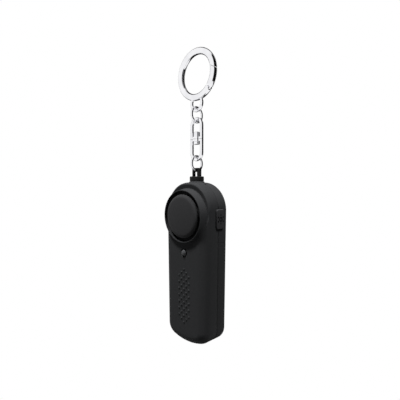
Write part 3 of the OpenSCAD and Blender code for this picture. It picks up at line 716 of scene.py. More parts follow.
def circle(centre: Point2, radius: float, count: int) -> np.ndarray:
    """Points of a circle."""
    angles = np.arange(count) * 2 * math.pi / count
    return np.array(centre) + radius * np.stack([np.cos(angles), np.sin(angles)], axis=1)


def soft_limit(first: np.ndarray, second: np.ndarray | float, width: float) -> np.ndarray:
    """Larger of two heights with a rounded change from one to the other, or the smaller one.

    Args:
        first: one set of heights.
        second: the other set.
        width: height over which the change is rounded; negative for the smaller of the two.

    Returns:
        The joined heights.
    """
    sign = 1 if width > 0 else -1
    a, b = sign * first, sign * second
    near = np.maximum(abs(width) - np.abs(a - b), 0) / abs(width)
    return sign * (np.maximum(a, b) + near**2 * abs(width) / 4)


def inside(points: np.ndarray, outline: np.ndarray) -> np.ndarray:
    """Tells which points lie inside a closed outline.

    Args:
        points: the points.
        outline: corners of the outline.

    Returns:
        True for each point inside it.
    """
    ahead = np.roll(outline, -1, axis=0)
    x, z = points[:, :1], points[:, 1:]
    spans = (outline[:, 1] > z) != (ahead[:, 1] > z)
    rise = np.where(ahead[:, 1] == outline[:, 1], 1.0, ahead[:, 1] - outline[:, 1])
    meets = outline[:, 0] + (z - outline[:, 1]) / rise * (ahead[:, 0] - outline[:, 0])
    return (spans & (x < meets)).sum(axis=1) % 2 == 1


def mesh_region(points: np.ndarray, loops: Sequence[list[int]]) -> list[tuple[int, ...]]:
    """Covers a flat region with triangles.

    Args:
        points: all points in the plane.
        loops: numbers of the points on its outer edge, in order, and round each hole.

    Returns:
        Triangles as numbers of points.
    """
    edges = [(loop[i], loop[(i + 1) % len(loop)]) for loop in loops for i in range(len(loop))]
    result = delaunay_2d_cdt([Vector(p) for p in points], edges, [], 0, 1e-6)
    source = [origin[0] for origin in result[3]]
    triangles = np.array([[source[i] for i in face] for face in result[2]])
    corners = points[triangles]
    middles = corners.mean(axis=1)
    first, second = corners[:, 1] - corners[:, 0], corners[:, 2] - corners[:, 0]
    # Points in a straight row can leave empty triangles on the edge
    keep = np.abs(first[:, 0] * second[:, 1] - first[:, 1] * second[:, 0]) > 1e-5
    keep &= inside(middles, points[loops[0]])
    for hole in loops[1:]:
        keep &= ~inside(middles, points[hole])
    return [tuple(int(i) for i in triangle) for triangle in triangles[keep]]


class Tree:
    """A Geometry Nodes tree with named inputs that ends in realised, dressed mesh."""

    def __init__(self, name: str, inputs: dict[str, str]) -> None:
        """Starts a tree.

        Args:
            name: name of the tree.
            inputs: Blender's socket type by the name of each input.
        """
        self.tree = bpy.data.node_groups.new(name, "GeometryNodeTree")
        for label, kind in {"Geometry": "NodeSocketGeometry", **inputs, "Finish": "NodeSocketMaterial"}.items():
            self.tree.interface.new_socket(label, in_out="INPUT", socket_type=kind)
        self.tree.interface.new_socket("Geometry", in_out="OUTPUT", socket_type="NodeSocketGeometry")
        self.given = add_node(self.tree, "NodeGroupInput").outputs

    def add(self, kind: str, settings: dict | None = None, links: dict | None = None) -> Socket:
        """Adds one node to the tree and gives its first output."""
        return add_node(self.tree, kind, settings, links).outputs[0]

    def close(self, geometry: Socket) -> None:
        """Ends the tree with realised instances, smooth shading and the finish.

        Args:
            geometry: what the tree has made.
        """
        whole = self.add("GeometryNodeRealizeInstances", links={"Geometry": geometry})
        smooth = self.add("GeometryNodeSetShadeSmooth", links={"Geometry": whole})
        links = {"Geometry": smooth, "Material": self.given["Finish"]}
        dressed = self.add("GeometryNodeSetMaterial", links=links)
        add_node(self.tree, "NodeGroupOutput", links={"Geometry": dressed})

    def run(self, source: Object, name: str, finish: Finish, values: dict) -> Object:
        """Runs the tree on an object and keeps the result as a plain mesh.

        Args:
            source: object whose geometry goes in; it is used up.
            name: name of the piece.
            finish: its finish.
            values: value of each named input.

        Returns:
            The new piece.
        """
        given = {**values, "Finish": finish.material()}
        nodes = source.modifiers.new("nodes", "NODES")
        nodes.node_group = self.tree
        for item in self.tree.interface.items_tree:
            if item.in_out == "INPUT" and item.name in given:
                nodes[item.identifier] = given[item.name]
        mesh = settled(source, name)
        drop_object(source)
        return put_object(name, mesh)


@cache
def wire_tree() -> Tree:
    """Tree that draws round wire along a path.

    Returns:
        The tree, with inputs for the wire's diameter and the points round it.
    """
    tree = Tree("wire_along_path", {"Diameter": "NodeSocketFloat", "Sides": "NodeSocketInt"})
    radius = tree.add("ShaderNodeMath", {"operation": "MULTIPLY", 1: 0.5}, {0: tree.given["Diameter"]})
    section = tree.add(
        "GeometryNodeCurvePrimitiveCircle", links={"Resolution": tree.given["Sides"], "Radius": radius}
    )
    links = {"Curve": tree.given["Geometry"], "Profile Curve": section}
    tree.close(tree.add("GeometryNodeCurveToMesh", {"Fill Caps": True}, links))
    return tree


def wire(
    name: str, points: Sequence[Point3], closed: bool, diameter: float, sides: int, finish: Finish
) -> Object:
    """Draws round wire along a path of straight steps.

    Args:
        name: name of the piece.
        points: the path, in millimetres.
        closed: whether the path goes back to its start.
        diameter: the wire's diameter.
        sides: points round the wire.
        finish: its finish.

    Returns:
        The piece.
    """
    curve = bpy.data.curves.new(f"{name}_path", "CURVE")
    curve.dimensions = "3D"
    line = curve.splines.new("POLY")
    line.points.add(len(points) - 1)
    for spot, place in zip(line.points, points):
        spot.co = (*metres(place), 1.0)
    line.use_cyclic_u = closed
    values = {"Diameter": diameter * MM, "Sides": sides}
    return wire_tree().run(put_object(curve.name, curve), name, finish, values)


def repeat_rows(
    piece: Object, name: str, finish: Finish, rows: Sequence[tuple[int, Point3, Point3]]
) -> Object:
    """Repeats a piece along straight rows.

    Args:
        piece: the piece, at the origin; it is used up.
        name: name of the whole.
        finish: its finish.
        rows: count, start and step of each row.

    Returns:
        The whole.
    """
    kinds = {"count": "NodeSocketInt", "start": "NodeSocketVector", "step": "NodeSocketVector"}
    inputs = {f"Row {i + 1} {label}": kind for i in range(len(rows)) for label, kind in kinds.items()}
    tree = Tree(f"repeat_in_{len(rows)}_rows", inputs)
    join = add_node(tree.tree, "GeometryNodeJoinGeometry")
    values: dict = {}
    for i, (count, start, step) in enumerate(rows, 1):
        labels = [f"Row {i} {label}" for label in kinds]
        links = {key: tree.given[label] for key, label in zip(("Count", "Start Location", "Offset"), labels)}
        tree.tree.links.new(tree.add("GeometryNodeMeshLine", {"mode": "OFFSET"}, links), join.inputs[0])
        values |= dict(zip(labels, (count, metres(start), metres(step))))
    links = {"Points": join.outputs[0], "Instance": tree.given["Geometry"]}
    tree.close(tree.add("GeometryNodeInstanceOnPoints", links=links))
    return tree.run(piece, name, finish, values)


def repeat_round(piece: Object, name: str, finish: Finish, count: int, axis: Axis, centre: Point3) -> Object:
    """Repeats a piece round an axis.

    Args:
        piece: the piece, placed from the axis at the origin; it is used up.
        name: name of the whole.
        finish: its finish.
        count: number of pieces in the full turn.
        axis: direction of the axis.
        centre: place that the origin goes to.

    Returns:
        The whole.
    """
    inputs = {"Count": "NodeSocketInt", "Turn": "NodeSocketVector", "Centre": "NodeSocketVector"}
    tree = Tree("repeat_round_axis", inputs)
    given = tree.given
    still = {"mode": "OFFSET", "Offset": (0, 0, 0)}
    points = tree.add("GeometryNodeMeshLine", still, {"Count": given["Count"]})
    index = tree.add("GeometryNodeInputIndex")
    share = tree.add("ShaderNodeMath", {"operation": "DIVIDE"}, {0: index, 1: given["Count"]})
    turn = tree.add("ShaderNodeVectorMath", {"operation": "SCALE"}, {0: given["Turn"], "Scale": share})
    links = {"Points": points, "Instance": given["Geometry"], "Rotation": turn}
    placed = tree.add("GeometryNodeInstanceOnPoints", links=links)
    tree.close(tree.add("GeometryNodeTransform", links={"Geometry": placed, "Translation": given["Centre"]}))
    values = {"Count": count, "Turn": axis.place((0, 0, 0), 0, 0, 2 * math.pi), "Centre": metres(centre)}
    return tree.run(piece, name, finish, values)


@dataclass
class Casing:
    """The two moulded halves of the body and its battery door."""

    width: float = 30.8
    foot_width: float = 28.8
    crown_z: float = -56.25
    foot_z: float = -139.85
    front_y: float = -9.55
    rear_y: float = 7.6
    shoulder_r: float = 14.4
    foot_r: float = 7.3
    foot_curve_r: float = 31.0
    front_edge_r: float = 4.9
    rear_edge_r: float = 2.9
    wall: float = 1.6
    seam_gap: float = 0.12
    seam_edge: float = 0.36
    # Box round the rear half that its two parts are cut with
    cut_low: Point3 = (-20.0, -5.0, -150.0)
    cut_high: Point3 = (20.0, 12.0, -50.0)
    # Drum round the siren
    siren_z: float = -73.55
    drum_rise: float = 1.55
    drum_top_edge: float = 0.3
    slot_r: float = 13.0
    lip: float = 0.4
    lip_edge: float = 0.16
    drum_spread: float = 0.85
    drum_drop: float = 4.45
    drum_fillet: float = 0.5
    # Ledge that the drum stands on between the shoulders, dished towards the drum
    ledge_r: float = 14.3
    ledge_height: float = -2.75
    ledge_slope: float = 0.18
    ledge_edge: float = 0.7
    # Sines of the angles below and above the siren's middle between which the ledge runs out
    ledge_end: float = -0.75
    ledge_full: float = 0.05
    # Rows of points round the drum, closest on its wall and its foot, and the room kept outside them
    drum_rings: tuple[float, ...] = (
        *(13.06, 13.16, 13.28, 13.4, 13.5, 13.62, 13.76, 13.92, 14.08, 14.26),
        *(14.46, 14.68, 14.9, 15.1, 15.3, 15.55, 15.8, 16.1, 16.4),
    )
    ring_points: int = 200
    ring_room: float = 0.3
    # Share of the edge rounding that those rows may reach down
    ring_reach: float = 0.94
    # Points on the flat part of the front: first, end and step across and up, and room round the lamp
    grid_x: Point3 = (-9.0, 9.1, 3.0)
    grid_z: Point3 = (-132.5, -90.5, 3.5)
    grid_room: float = 3.5
    # Hole of the lamp
    lamp_z: float = -92.35
    lamp_hole_r: float = 2.15
    lamp_edge: float = 0.2
    lamp_points: int = 40
    # Light button and its opening, which reaches between two places across
    button_z: float = -74.75
    button_h: float = 10.0
    button_w: float = 5.6
    button_y: float = 0.6
    button_corner: float = 1.2
    button_clear: float = 0.2
    button_reach: Point2 = (11.0, 19.0)
    # Grip dots: counts and places of the columns
    dot_counts: tuple[int, ...] = (7, 8, 9, 8, 7)
    dot_column: float = 1.8
    dot_step: float = 3.45
    dot_z: float = -114.7
    dot_r: float = 0.68
    dot_rise: float = 0.35
    dot_root: float = 0.3
    # Battery door
    door_z: float = -86.9
    door_edge: float = 0.3
    bar_count: int = 4
    bar_w: float = 11.0
    bar_t: float = 0.9
    bar_step: float = 2.2
    bar_drop: float = 6.55
    bar_rise: float = 0.4
    rail_low: Point3 = (12.1, 0.1, -124.16)
    rail_high: Point3 = (14.4, 1.3, -92.2)
    lip_w: float = 4.0
    lip_t: float = 0.95
    lip_len: float = 2.6
    lip_gap: float = 0.1
    lip_root: float = 0.2
    rail_edge: float = 0.15
    # Screws of the shells: places across and up, recess and head
    screw_spots: tuple[Point2, ...] = ((9.3, -62.65), (9.63, -83.8))
    screw_recess_r: float = 2.0
    recess_floor: float = 0.05
    screw_head_r: float = 1.8
    screw_head_h: float = 1.3
    screw_sink: float = 0.4
    screw_side: float = 0.15
    screw_top_r: float = 0.6
    screw_edges: Point3 = (0.1, 0.45, 2.0)
    # Cross slot: half length and width, corners, depth and height, and share of its size at the bottom
    cross: Point2 = (1.15, 0.24)
    cross_corner: float = 0.1
    cross_depth: float = 0.8
    cross_height: float = 0.3
    cross_taper: float = 0.55
    # Raised rim round the pull pin, flared into the crown, from heights above the crown
    rim_r: float = 3.825
    rim_bore: float = 2.5
    rim_rise: float = 0.6
    rim_edges: Point2 = (0.1, 0.18)
    # Place outside the rim, height and rounding of the flare
    rim_flare: Point3 = (0.3, -0.1, 1.2)
    rim_foot: Point2 = (6.4, -0.95)
    rim_root: float = -1.4
    rim_sides: int = 96
    slit: Point2 = (9.0, 3.0)
    edges: tuple[np.ndarray, np.ndarray] = field(init=False)

    def __post_init__(self) -> None:
        """Works out the outline once."""
        self.edges = self.outline()

    def outline(self) -> tuple[np.ndarray, np.ndarray]:
        """Front outline of the casing.

        Returns:
            Its points across and up, and the outward directions at them.
        """
        shoulder = (self.width / 2 - self.shoulder_r, self.crown_z - self.shoulder_r)
        curve_z = self.foot_z + self.foot_curve_r
        foot_x = self.foot_width / 2 - self.foot_r
        reach = self.foot_curve_r - self.foot_r
        foot = (foot_x, curve_z - math.sqrt(reach**2 - foot_x**2))
        foot_turn = math.asin(foot_x / reach)
        run = (foot[0] - shoulder[0], foot[1] - shoulder[1])
        side_turn = math.atan2(run[1], run[0]) + math.acos((self.shoulder_r - self.foot_r) / math.hypot(*run))
        down = 3 * QUARTER
        # Centre, radius, first and last angle, steps, and steps of the straight run that follows
        arcs = (
            (shoulder, self.shoulder_r, side_turn, QUARTER, 30, 4),
            ((-shoulder[0], shoulder[1]), self.shoulder_r, QUARTER, math.pi - side_turn, 30, 80),
            ((-foot[0], foot[1]), self.foot_r, math.pi - side_turn, down - foot_turn, 16, 1),
            ((0.0, curve_z), self.foot_curve_r, down - foot_turn, down + foot_turn, 18, 1),
            (foot, self.foot_r, down + foot_turn, 2 * math.pi + side_turn, 16, 80),
        )
        spots: list[np.ndarray] = []
        ways: list[np.ndarray] = []
        for arc, after in zip(arcs, arcs[1:] + arcs[:1]):
            centre, radius, first, last, steps, straight = arc
            angles = np.linspace(first, last, steps + 1)
            spokes = np.stack([np.cos(angles), np.sin(angles)], axis=1)
            spots += list(np.array(centre) + radius * spokes)
            start = np.array(after[0]) + after[1] * np.array([math.cos(after[2]), math.sin(after[2])])
            share = np.arange(1, straight)[:, None] / straight
            spots += list(spots[-1] + share * (start - spots[-1]))
            ways += [*spokes, *([spokes[-1]] * len(share))]
        line = np.array(spots)
        apart = np.linalg.norm(line - np.roll(line, 1, axis=0), axis=1) > 1e-6
        return line[apart], np.array(ways)[apart]

    def inset(self, depth: float) -> np.ndarray:
        """Outline moved inwards by that much."""
        return self.edges[0] - depth * self.edges[1]

    def level(self, depth: float, y: float) -> list[Point3]:
        """Outline moved inwards, at one distance from the seam."""
        return [(x, y, z) for x, z in self.inset(depth)]

    def beyond(self, points: np.ndarray, depth: float) -> tuple[np.ndarray, np.ndarray, np.ndarray]:
        """How far points lie outside the outline moved inwards.

        Args:
            points: places across and up.
            depth: how far the outline is moved inwards.

        Returns:
            The distance, at least 0, the nearest place on the outline, and the outward direction there.
        """
        line = self.inset(depth)
        run = np.roll(line, -1, axis=0) - line
        apart = points[:, None, :] - line[None, :, :]
        share = np.clip((apart * run).sum(axis=2) / (run**2).sum(axis=1), 0, 1)
        near = line + share[:, :, None] * run
        best = np.linalg.norm(points[:, None, :] - near, axis=2).argmin(axis=1)
        rows = np.arange(len(points))
        place, part = near[rows, best], share[rows, best][:, None]
        ways = self.edges[1]
        way = ways[best] * (1 - part) + ways[(best + 1) % len(ways)] * part
        way /= np.linalg.norm(way, axis=1)[:, None]
        return np.maximum(((points - place) * way).sum(axis=1), 0), place, way

    def ledge(self, places: np.ndarray) -> np.ndarray:
        """Height of the ledge between the drum and the shoulders, above the casing where there is none.

        Args:
            places: places across and up.

        Returns:
            The height at each place.
        """
        up = places[:, 1] - self.siren_z
        far = np.hypot(places[:, 0], up)
        sine = up / np.maximum(far, 1)
        share = np.clip((sine - self.ledge_end) / (self.ledge_full - self.ledge_end), 0, 1)
        open_up = (1 - share**2 * (3 - 2 * share)) * self.drum_drop
        return self.ledge_height + self.ledge_slope * (far - self.ledge_r) + open_up

    def rise(self, places: np.ndarray, fall: np.ndarray) -> np.ndarray:
        """Height of the front above its flat face, with the drum blended into the edge rounding.

        Args:
            places: places across and up.
            fall: height of the rounded casing alone, 0 on its flat face.

        Returns:
            The height at each place.
        """
        far = np.hypot(places[:, 0], places[:, 1] - self.siren_z)
        rim_r = self.slot_r + self.lip
        wall = self.drum_rise - (far - rim_r) * self.drum_drop / self.drum_spread
        drum = soft_limit(wall, self.drum_rise, -self.drum_top_edge)
        body = soft_limit(fall, self.ledge(places), -self.ledge_edge)
        height = soft_limit(drum, body, self.drum_fillet)
        inner = np.clip(self.slot_r + self.lip_edge - far, 0, self.lip_edge)
        height = height - np.where(far < rim_r, self.lip_edge - np.sqrt(self.lip_edge**2 - inner**2), 0)
        lamp = np.hypot(places[:, 0], places[:, 1] - self.lamp_z) - self.lamp_hole_r
        return height - np.clip(self.lamp_edge - lamp, 0, self.lamp_edge)

    def front_face(
        self, draft: Draft, depth: float, rows: int, lift: Callable, rings: Sequence[float]
    ) -> list[list[int]]:
        """Adds a front face with its rounded edge, open at the siren and the lamp.

        The triangles are laid out on the face with its rounded edge unrolled flat, so that they stay even.

        Args:
            draft: draft that it goes in.
            depth: how far it lies inside the casing's own face.
            rows: rows of points across the rounding.
            lift: height of the surface by place and by the fall of the rounding.
            rings: radii of the rows of points round the siren.

        Returns:
            Numbers of the points on the rim, round the siren and round the lamp.
        """
        core, radius = self.front_edge_r, self.front_edge_r - depth
        siren, lamp = (0.0, self.siren_z), (0.0, self.lamp_z)
        spots, ways = self.edges
        keep_out = (rings[-1] if rings else self.slot_r) + self.ring_room
        actual, flat = [], []
        for row in range(rows, -1, -1):
            angle = row / rows * QUARTER
            place = spots - (core - radius * math.sin(angle)) * ways
            pick = (np.hypot(place[:, 0], place[:, 1] - self.siren_z) > keep_out) | (row == rows)
            actual.append(place[pick])
            flat.append((spots - (core - radius * angle) * ways)[pick])
        circles = [circle(siren, self.slot_r, self.ring_points)]
        circles += [circle(lamp, self.lamp_hole_r + self.lamp_edge * k, self.lamp_points) for k in range(3)]
        circles += [circle(siren, r, self.ring_points) for r in rings]
        for i, places in enumerate(circles):
            out, near, way = self.beyond(places, core)
            along = radius * np.arcsin(np.minimum(out / radius, 1))
            even = np.where(out[:, None] > 0, near + way * along[:, None], places)
            pick = (out < radius * math.sin(QUARTER * self.ring_reach)) | (i < 2)
            actual.append(places[pick])
            flat.append(even[pick])
        grid = np.stack(np.meshgrid(np.arange(*self.grid_x), np.arange(*self.grid_z)), axis=-1).reshape(-1, 2)
        out, _, _ = self.beyond(grid, core + 1)
        grid = grid[(out == 0) & (np.hypot(grid[:, 0], grid[:, 1] - self.lamp_z) > self.grid_room)]
        actual.append(grid)
        flat.append(grid)
        starts = np.cumsum([0, *(len(a) for a in actual)])
        loops = [list(range(starts[i], starts[i + 1])) for i in (0, rows + 1, rows + 2)]
        places = np.concatenate(actual)
        out, _, _ = self.beyond(places, core)
        fall = np.sqrt(np.maximum(radius**2 - np.minimum(out, radius) ** 2, 0)) - radius
        height = lift(places, fall)
        numbers = draft.ring([(p[0], self.front_y + depth - h, p[1]) for p, h in zip(places, height)])
        for triangle in mesh_region(np.concatenate(flat), loops):
            draft.faces.append(tuple(numbers[i] for i in triangle))
        return [[numbers[i] for i in loop] for loop in loops]

    def seam_rows(self, side: int) -> list[list[Point3]]:
        """Rows of points round the seam's edge, from the outside in.

        Args:
            side: -1 for the front half and 1 for the rear one.

        Returns:
            The rows.
        """
        seam_y, edge = side * self.seam_gap / 2, self.seam_edge
        rows = [self.level(edge * c, seam_y + side * edge * (1 - s)) for s, c in quarter_round(3)]
        return [*rows, self.level(self.wall, seam_y)]

    def button_opening(self) -> Object:
        """Solid that cuts the light button's opening out of the side.

        Returns:
            The solid.
        """
        grow = 2 * self.button_clear
        plan = rounded_rect(self.button_w + grow, self.button_h + grow, self.button_corner + self.button_clear)
        middle = (0, self.button_y, self.button_z)
        return Draft().prism(plan, Axis.X, middle, self.button_reach).piece("button_opening")

    def front_shell(self) -> None:
        """Builds the front half: rounded face, siren drum, lamp hole and wall."""
        draft = Draft()
        outer = self.front_face(draft, 0.0, 12, self.rise, self.drum_rings)
        inner = self.front_face(
            draft, self.wall, 6, lambda places, fall: np.minimum(fall, self.ledge(places) + self.wall / 2), ()
        )
        draft.skin([outer[0], *(draft.ring(row) for row in self.seam_rows(-1)), inner[0]])
        for hole, inner_hole in zip(outer[1:], inner[1:]):
            draft.skin([hole, inner_hole])
        shell = draft.piece("front_shell_skin")
        carve(shell, self.button_opening())
        dress(shell, Finishes.SHELL, "casing", "front_shell")

    def rear_part(self, name: str, low_z: float, high_z: float) -> Object:
        """Part of the hollow rear half between two heights.

        Args:
            name: name of the part.
            low_z: its lower end.
            high_z: its upper end.

        Returns:
            The part.
        """
        middle_y = self.rear_y - self.rear_edge_r
        outer, inner = (
            [self.level(depth + radius * c, middle_y + radius * s) for s, c in quarter_round(8)]
            for depth, radius in ((0.0, self.rear_edge_r), (self.wall, self.rear_edge_r - self.wall))
        )
        part = Draft().loft([*outer[::-1], *self.seam_rows(1), *inner]).piece(name)
        keep = Draft().block((*self.cut_low[:2], low_z), (*self.cut_high[:2], high_z))
        carve(part, keep.piece("part_to_keep"), Cut.KEEP)
        return part

    def rear_shell(self) -> None:
        """Builds the upper rear shell with its four screw recesses."""
        shell = self.rear_part("rear_shell_skin", self.door_z + self.seam_gap / 2, self.cut_high[2])
        carve(shell, self.button_opening())
        ends = (self.rear_y - self.wall + self.recess_floor, self.rear_y + PAST)
        for x, z in [(side * x, z) for x, z in self.screw_spots for side in (-1, 1)]:
            recess = Draft().turn([(self.screw_recess_r, end) for end in ends], Axis.Y, (x, 0, z), 40)
            carve(shell, recess.piece("screw_recess"))
        soften(shell, self.door_edge)
        dress(shell, Finishes.SHELL, "casing", "rear_shell")

    def screws(self) -> None:
        """Builds the four cross-head screws in the rear shell."""
        top_y = self.rear_y - self.screw_sink
        low_y = top_y - self.screw_head_h
        low_edge, side_edge, top_edge = self.screw_edges
        profile = [
            (0.0, low_y, 0),
            (self.screw_head_r, low_y, low_edge),
            (self.screw_head_r, top_y - self.screw_side, side_edge),
            (self.screw_top_r, top_y, top_edge),
            (0.0, top_y, 0),
        ]
        screw = Draft().turn(eased(profile), Axis.Y, (0, 0, 0), 40).piece("screw_head")
        for half_w, half_h in (self.cross, self.cross[::-1]):
            plan = rounded_rect(2 * half_w, 2 * half_h, self.cross_corner, 3)
            ends = ((self.cross_taper, top_y - self.cross_depth), (1.0, top_y + self.cross_height))
            slot = Draft().loft([[(a * share, y, u * share) for a, u in plan] for share, y in ends])
            carve(screw, slot.piece("cross_slot"))
        rows = [(2, (-x, 0, z), (2 * x, 0, 0)) for x, z in self.screw_spots]
        heads = repeat_rows(screw, "shell_screw_heads", Finishes.BLACKENED, rows)
        dress(heads, Finishes.BLACKENED, "casing", "shell_screws")

    def battery_door(self) -> None:
        """Builds the sliding door with its thumb bars, rails and lip."""
        door = self.rear_part("battery_door_skin", self.cut_low[2], self.door_z - self.seam_gap / 2)
        soften(door, self.door_edge)
        dress(door, Finishes.SHELL, "battery_door", "battery_door")
        half, radius = self.bar_w / 2, self.bar_t / 2
        ends = [(radius * s, -half + radius * c) for s, c in quarter_round(6)]
        profile = [*ends, *((r, -along) for r, along in reversed(ends))]
        bar = Draft().turn(profile, Axis.X, (0, 0, 0), 24).piece("thumb_bar")
        start = (0, self.rear_y + self.bar_rise - radius, self.door_z - self.bar_drop)
        rows = [(self.bar_count, start, (0, 0, -self.bar_step))]
        dress(repeat_rows(bar, "door_thumb_bars", Finishes.SHELL, rows), Finishes.SHELL, "battery_door")
        fittings = Draft()
        for side in (-1, 1):
            low, high = sorted((side * self.rail_low[0], side * self.rail_high[0]))
            fittings.block((low, *self.rail_low[1:]), (high, *self.rail_high[1:]))
        inner_y = self.rear_y - self.wall
        gap_y = inner_y - self.lip_gap
        half, low_z = self.lip_w / 2, self.door_z - 2 * self.lip_len
        fittings.block((-half, inner_y - self.lip_t, low_z), (half, gap_y, self.door_z + self.lip_len))
        fittings.block((-half, gap_y, low_z), (half, inner_y + self.lip_root, self.door_z - self.lip_len))
        inside_parts = fittings.piece("door_rails_and_lip")
        soften(inside_parts, self.rail_edge)
        dress(inside_parts, Finishes.SHELL, "battery_door")

    def crown_rim(self) -> None:
        """Builds the flared rim on the crown that the pull pin's plug stands on."""
        profile = [
            (self.rim_bore, self.rim_root, 0),
            (self.rim_bore, self.rim_rise, self.rim_edges[0]),
            (self.rim_r, self.rim_rise, self.rim_edges[1]),
            (self.rim_r + self.rim_flare[0], *self.rim_flare[1:]),
            (*self.rim_foot, 0),
            (self.rim_foot[0], self.rim_root, 0),
        ]
        crown = (0, 0, self.crown_z)
        rim = Draft().turn(eased(profile), Axis.Z, crown, self.rim_sides, True).piece("crown_rim")
        across, up, half = *self.slit, self.seam_gap / 2
        slit = Draft().block((-across, -half, self.crown_z - up), (across, half, self.crown_z + up))
        carve(rim, slit.piece("seam_slit"))
        dress(rim, Finishes.SHELL, "casing")

    def grip_dots(self) -> None:
        """Builds the field of raised grip dots on the front."""
        ball_r = (self.dot_r**2 + self.dot_rise**2) / (2 * self.dot_rise)
        half = math.asin(self.dot_r / ball_r)
        cap = [(ball_r * math.sin(half * k / 5), -ball_r * math.cos(half * k / 5)) for k in range(6)]
        profile = [(r, y - cap[-1][1]) for r, y in cap] + [(self.dot_r, self.dot_root), (0.0, self.dot_root)]
        dot = Draft().turn(profile, Axis.Y, (0, 0, 0), 24).piece("dot")
        rows = []
        for i, count in enumerate(self.dot_counts):
            x = (i - (len(self.dot_counts) - 1) / 2) * self.dot_column
            z = self.dot_z - (count - 1) / 2 * self.dot_step
            rows.append((count, (x, self.front_y, z), (0, 0, self.dot_step)))
        dress(repeat_rows(dot, "grip_dots", Finishes.SHELL, rows), Finishes.SHELL, "casing")

    def build(self) -> None:
        """Builds the whole casing."""
        self.front_shell()
        self.rear_shell()
        self.screws()
        self.battery_door()
        self.crown_rim()
        self.grip_dots()


@dataclass
class Siren:
    """The sound slot's floor and the cap in the middle of the drum."""

    z: float
    floor_y: float = -8.65
    floor_t: float = 1.3
    floor_r: float = 13.05
    port_r: float = 1.2
    port_ring_r: float = 8.6
    port_count: int = 9
    cap_r: float = 11.15
    cap_y: float = -12.15
    cap_t: float = 1.8
    cap_edge: float = 2.0
    cap_drop: float = 1.15
    cap_crown: float = 0.5
    # Rows of points on the cap's face, and the step in its back: distances from the edge, roundings and depth
    cap_rows: int = 8
    back_step: Point2 = (1.2, 1.4)
    back_edges: Point2 = (0.2, 0.05)
    back_sink: float = 0.1
    post_r: float = 1.15
    post_ring_r: float = 5.2
    post_count: int = 3
    post_sink: float = 0.9
    post_edge: float = 0.3

    def build(self) -> None:
        """Builds the floor with its ports, the cap and the cap's posts."""
        ring_r = self.port_ring_r
        angles = [2 * math.pi * (i + 0.5) / self.port_count for i in range(self.port_count)]
        ports = [circle((ring_r * math.cos(a), ring_r * math.sin(a)), self.port_r, 24) for a in angles]
        loops = [circle((0, 0), self.floor_r, 120), *ports]
        floor = Draft().plate(loops, Axis.Y, (0, self.floor_y, self.z), self.floor_t)
        dress(floor.piece("siren_floor"), Finishes.SHELL, "casing")
        flat_r = self.cap_r - self.cap_edge
        rows = [(flat_r * k / self.cap_rows, 0.0) for k in range(self.cap_rows)]
        rows += [(flat_r + self.cap_edge * s, self.cap_drop * c) for s, c in quarter_round(10)]
        profile = [(r, drop + self.cap_crown * (r / self.cap_r) ** 2) for r, drop in rows]
        back = self.cap_t - self.back_sink
        step = [(self.cap_r - self.back_step[i], (self.cap_t, back)[i], self.back_edges[i]) for i in range(2)]
        profile += eased([(self.cap_r, self.cap_t, 0), *step, (0.0, back, 0)])
        cap = Draft().turn(profile, Axis.Y, (0, self.cap_y, self.z), 128)
        dress(cap.piece("siren_cap_skin", 30), Finishes.CAP, "casing", "siren_cap")
        low, high = self.cap_y + self.post_sink, self.floor_y + self.floor_t
        profile = eased([(0, low, 0), (self.post_r, low, 0), (self.post_r, high, self.post_edge), (0, high, 0)])
        post = Draft().turn(profile, Axis.Y, (0, 0, self.post_ring_r), 24).piece("cap_post")
        posts = repeat_round(post, "siren_cap_posts", Finishes.CAP, self.post_count, Axis.Y, (0, 0, self.z))
        dress(posts, Finishes.CAP, "casing")


@dataclass
class Lamp:
    """The small round lamp below the siren."""

    z: float
    tip_y: float = -10.55
    radius: float = 1.75
    back_y: float = -6.95
    flange_r: float = 2.3
    flange_y: float = -7.9

    def build(self) -> None:
        """Builds the round body with its flange."""
        profile = [(self.radius * s, self.tip_y + self.radius * c) for s, c in quarter_round(12)]
        profile += [(self.radius, self.flange_y), (self.flange_r, self.flange_y)]
        profile += [(self.flange_r, self.back_y), (0, self.back_y)]
        body = Draft().turn(profile, Axis.Y, (0, 0, self.z), 48)
        dress(body.piece("lamp_body"), Finishes.EPOXY, "casing", "lamp")


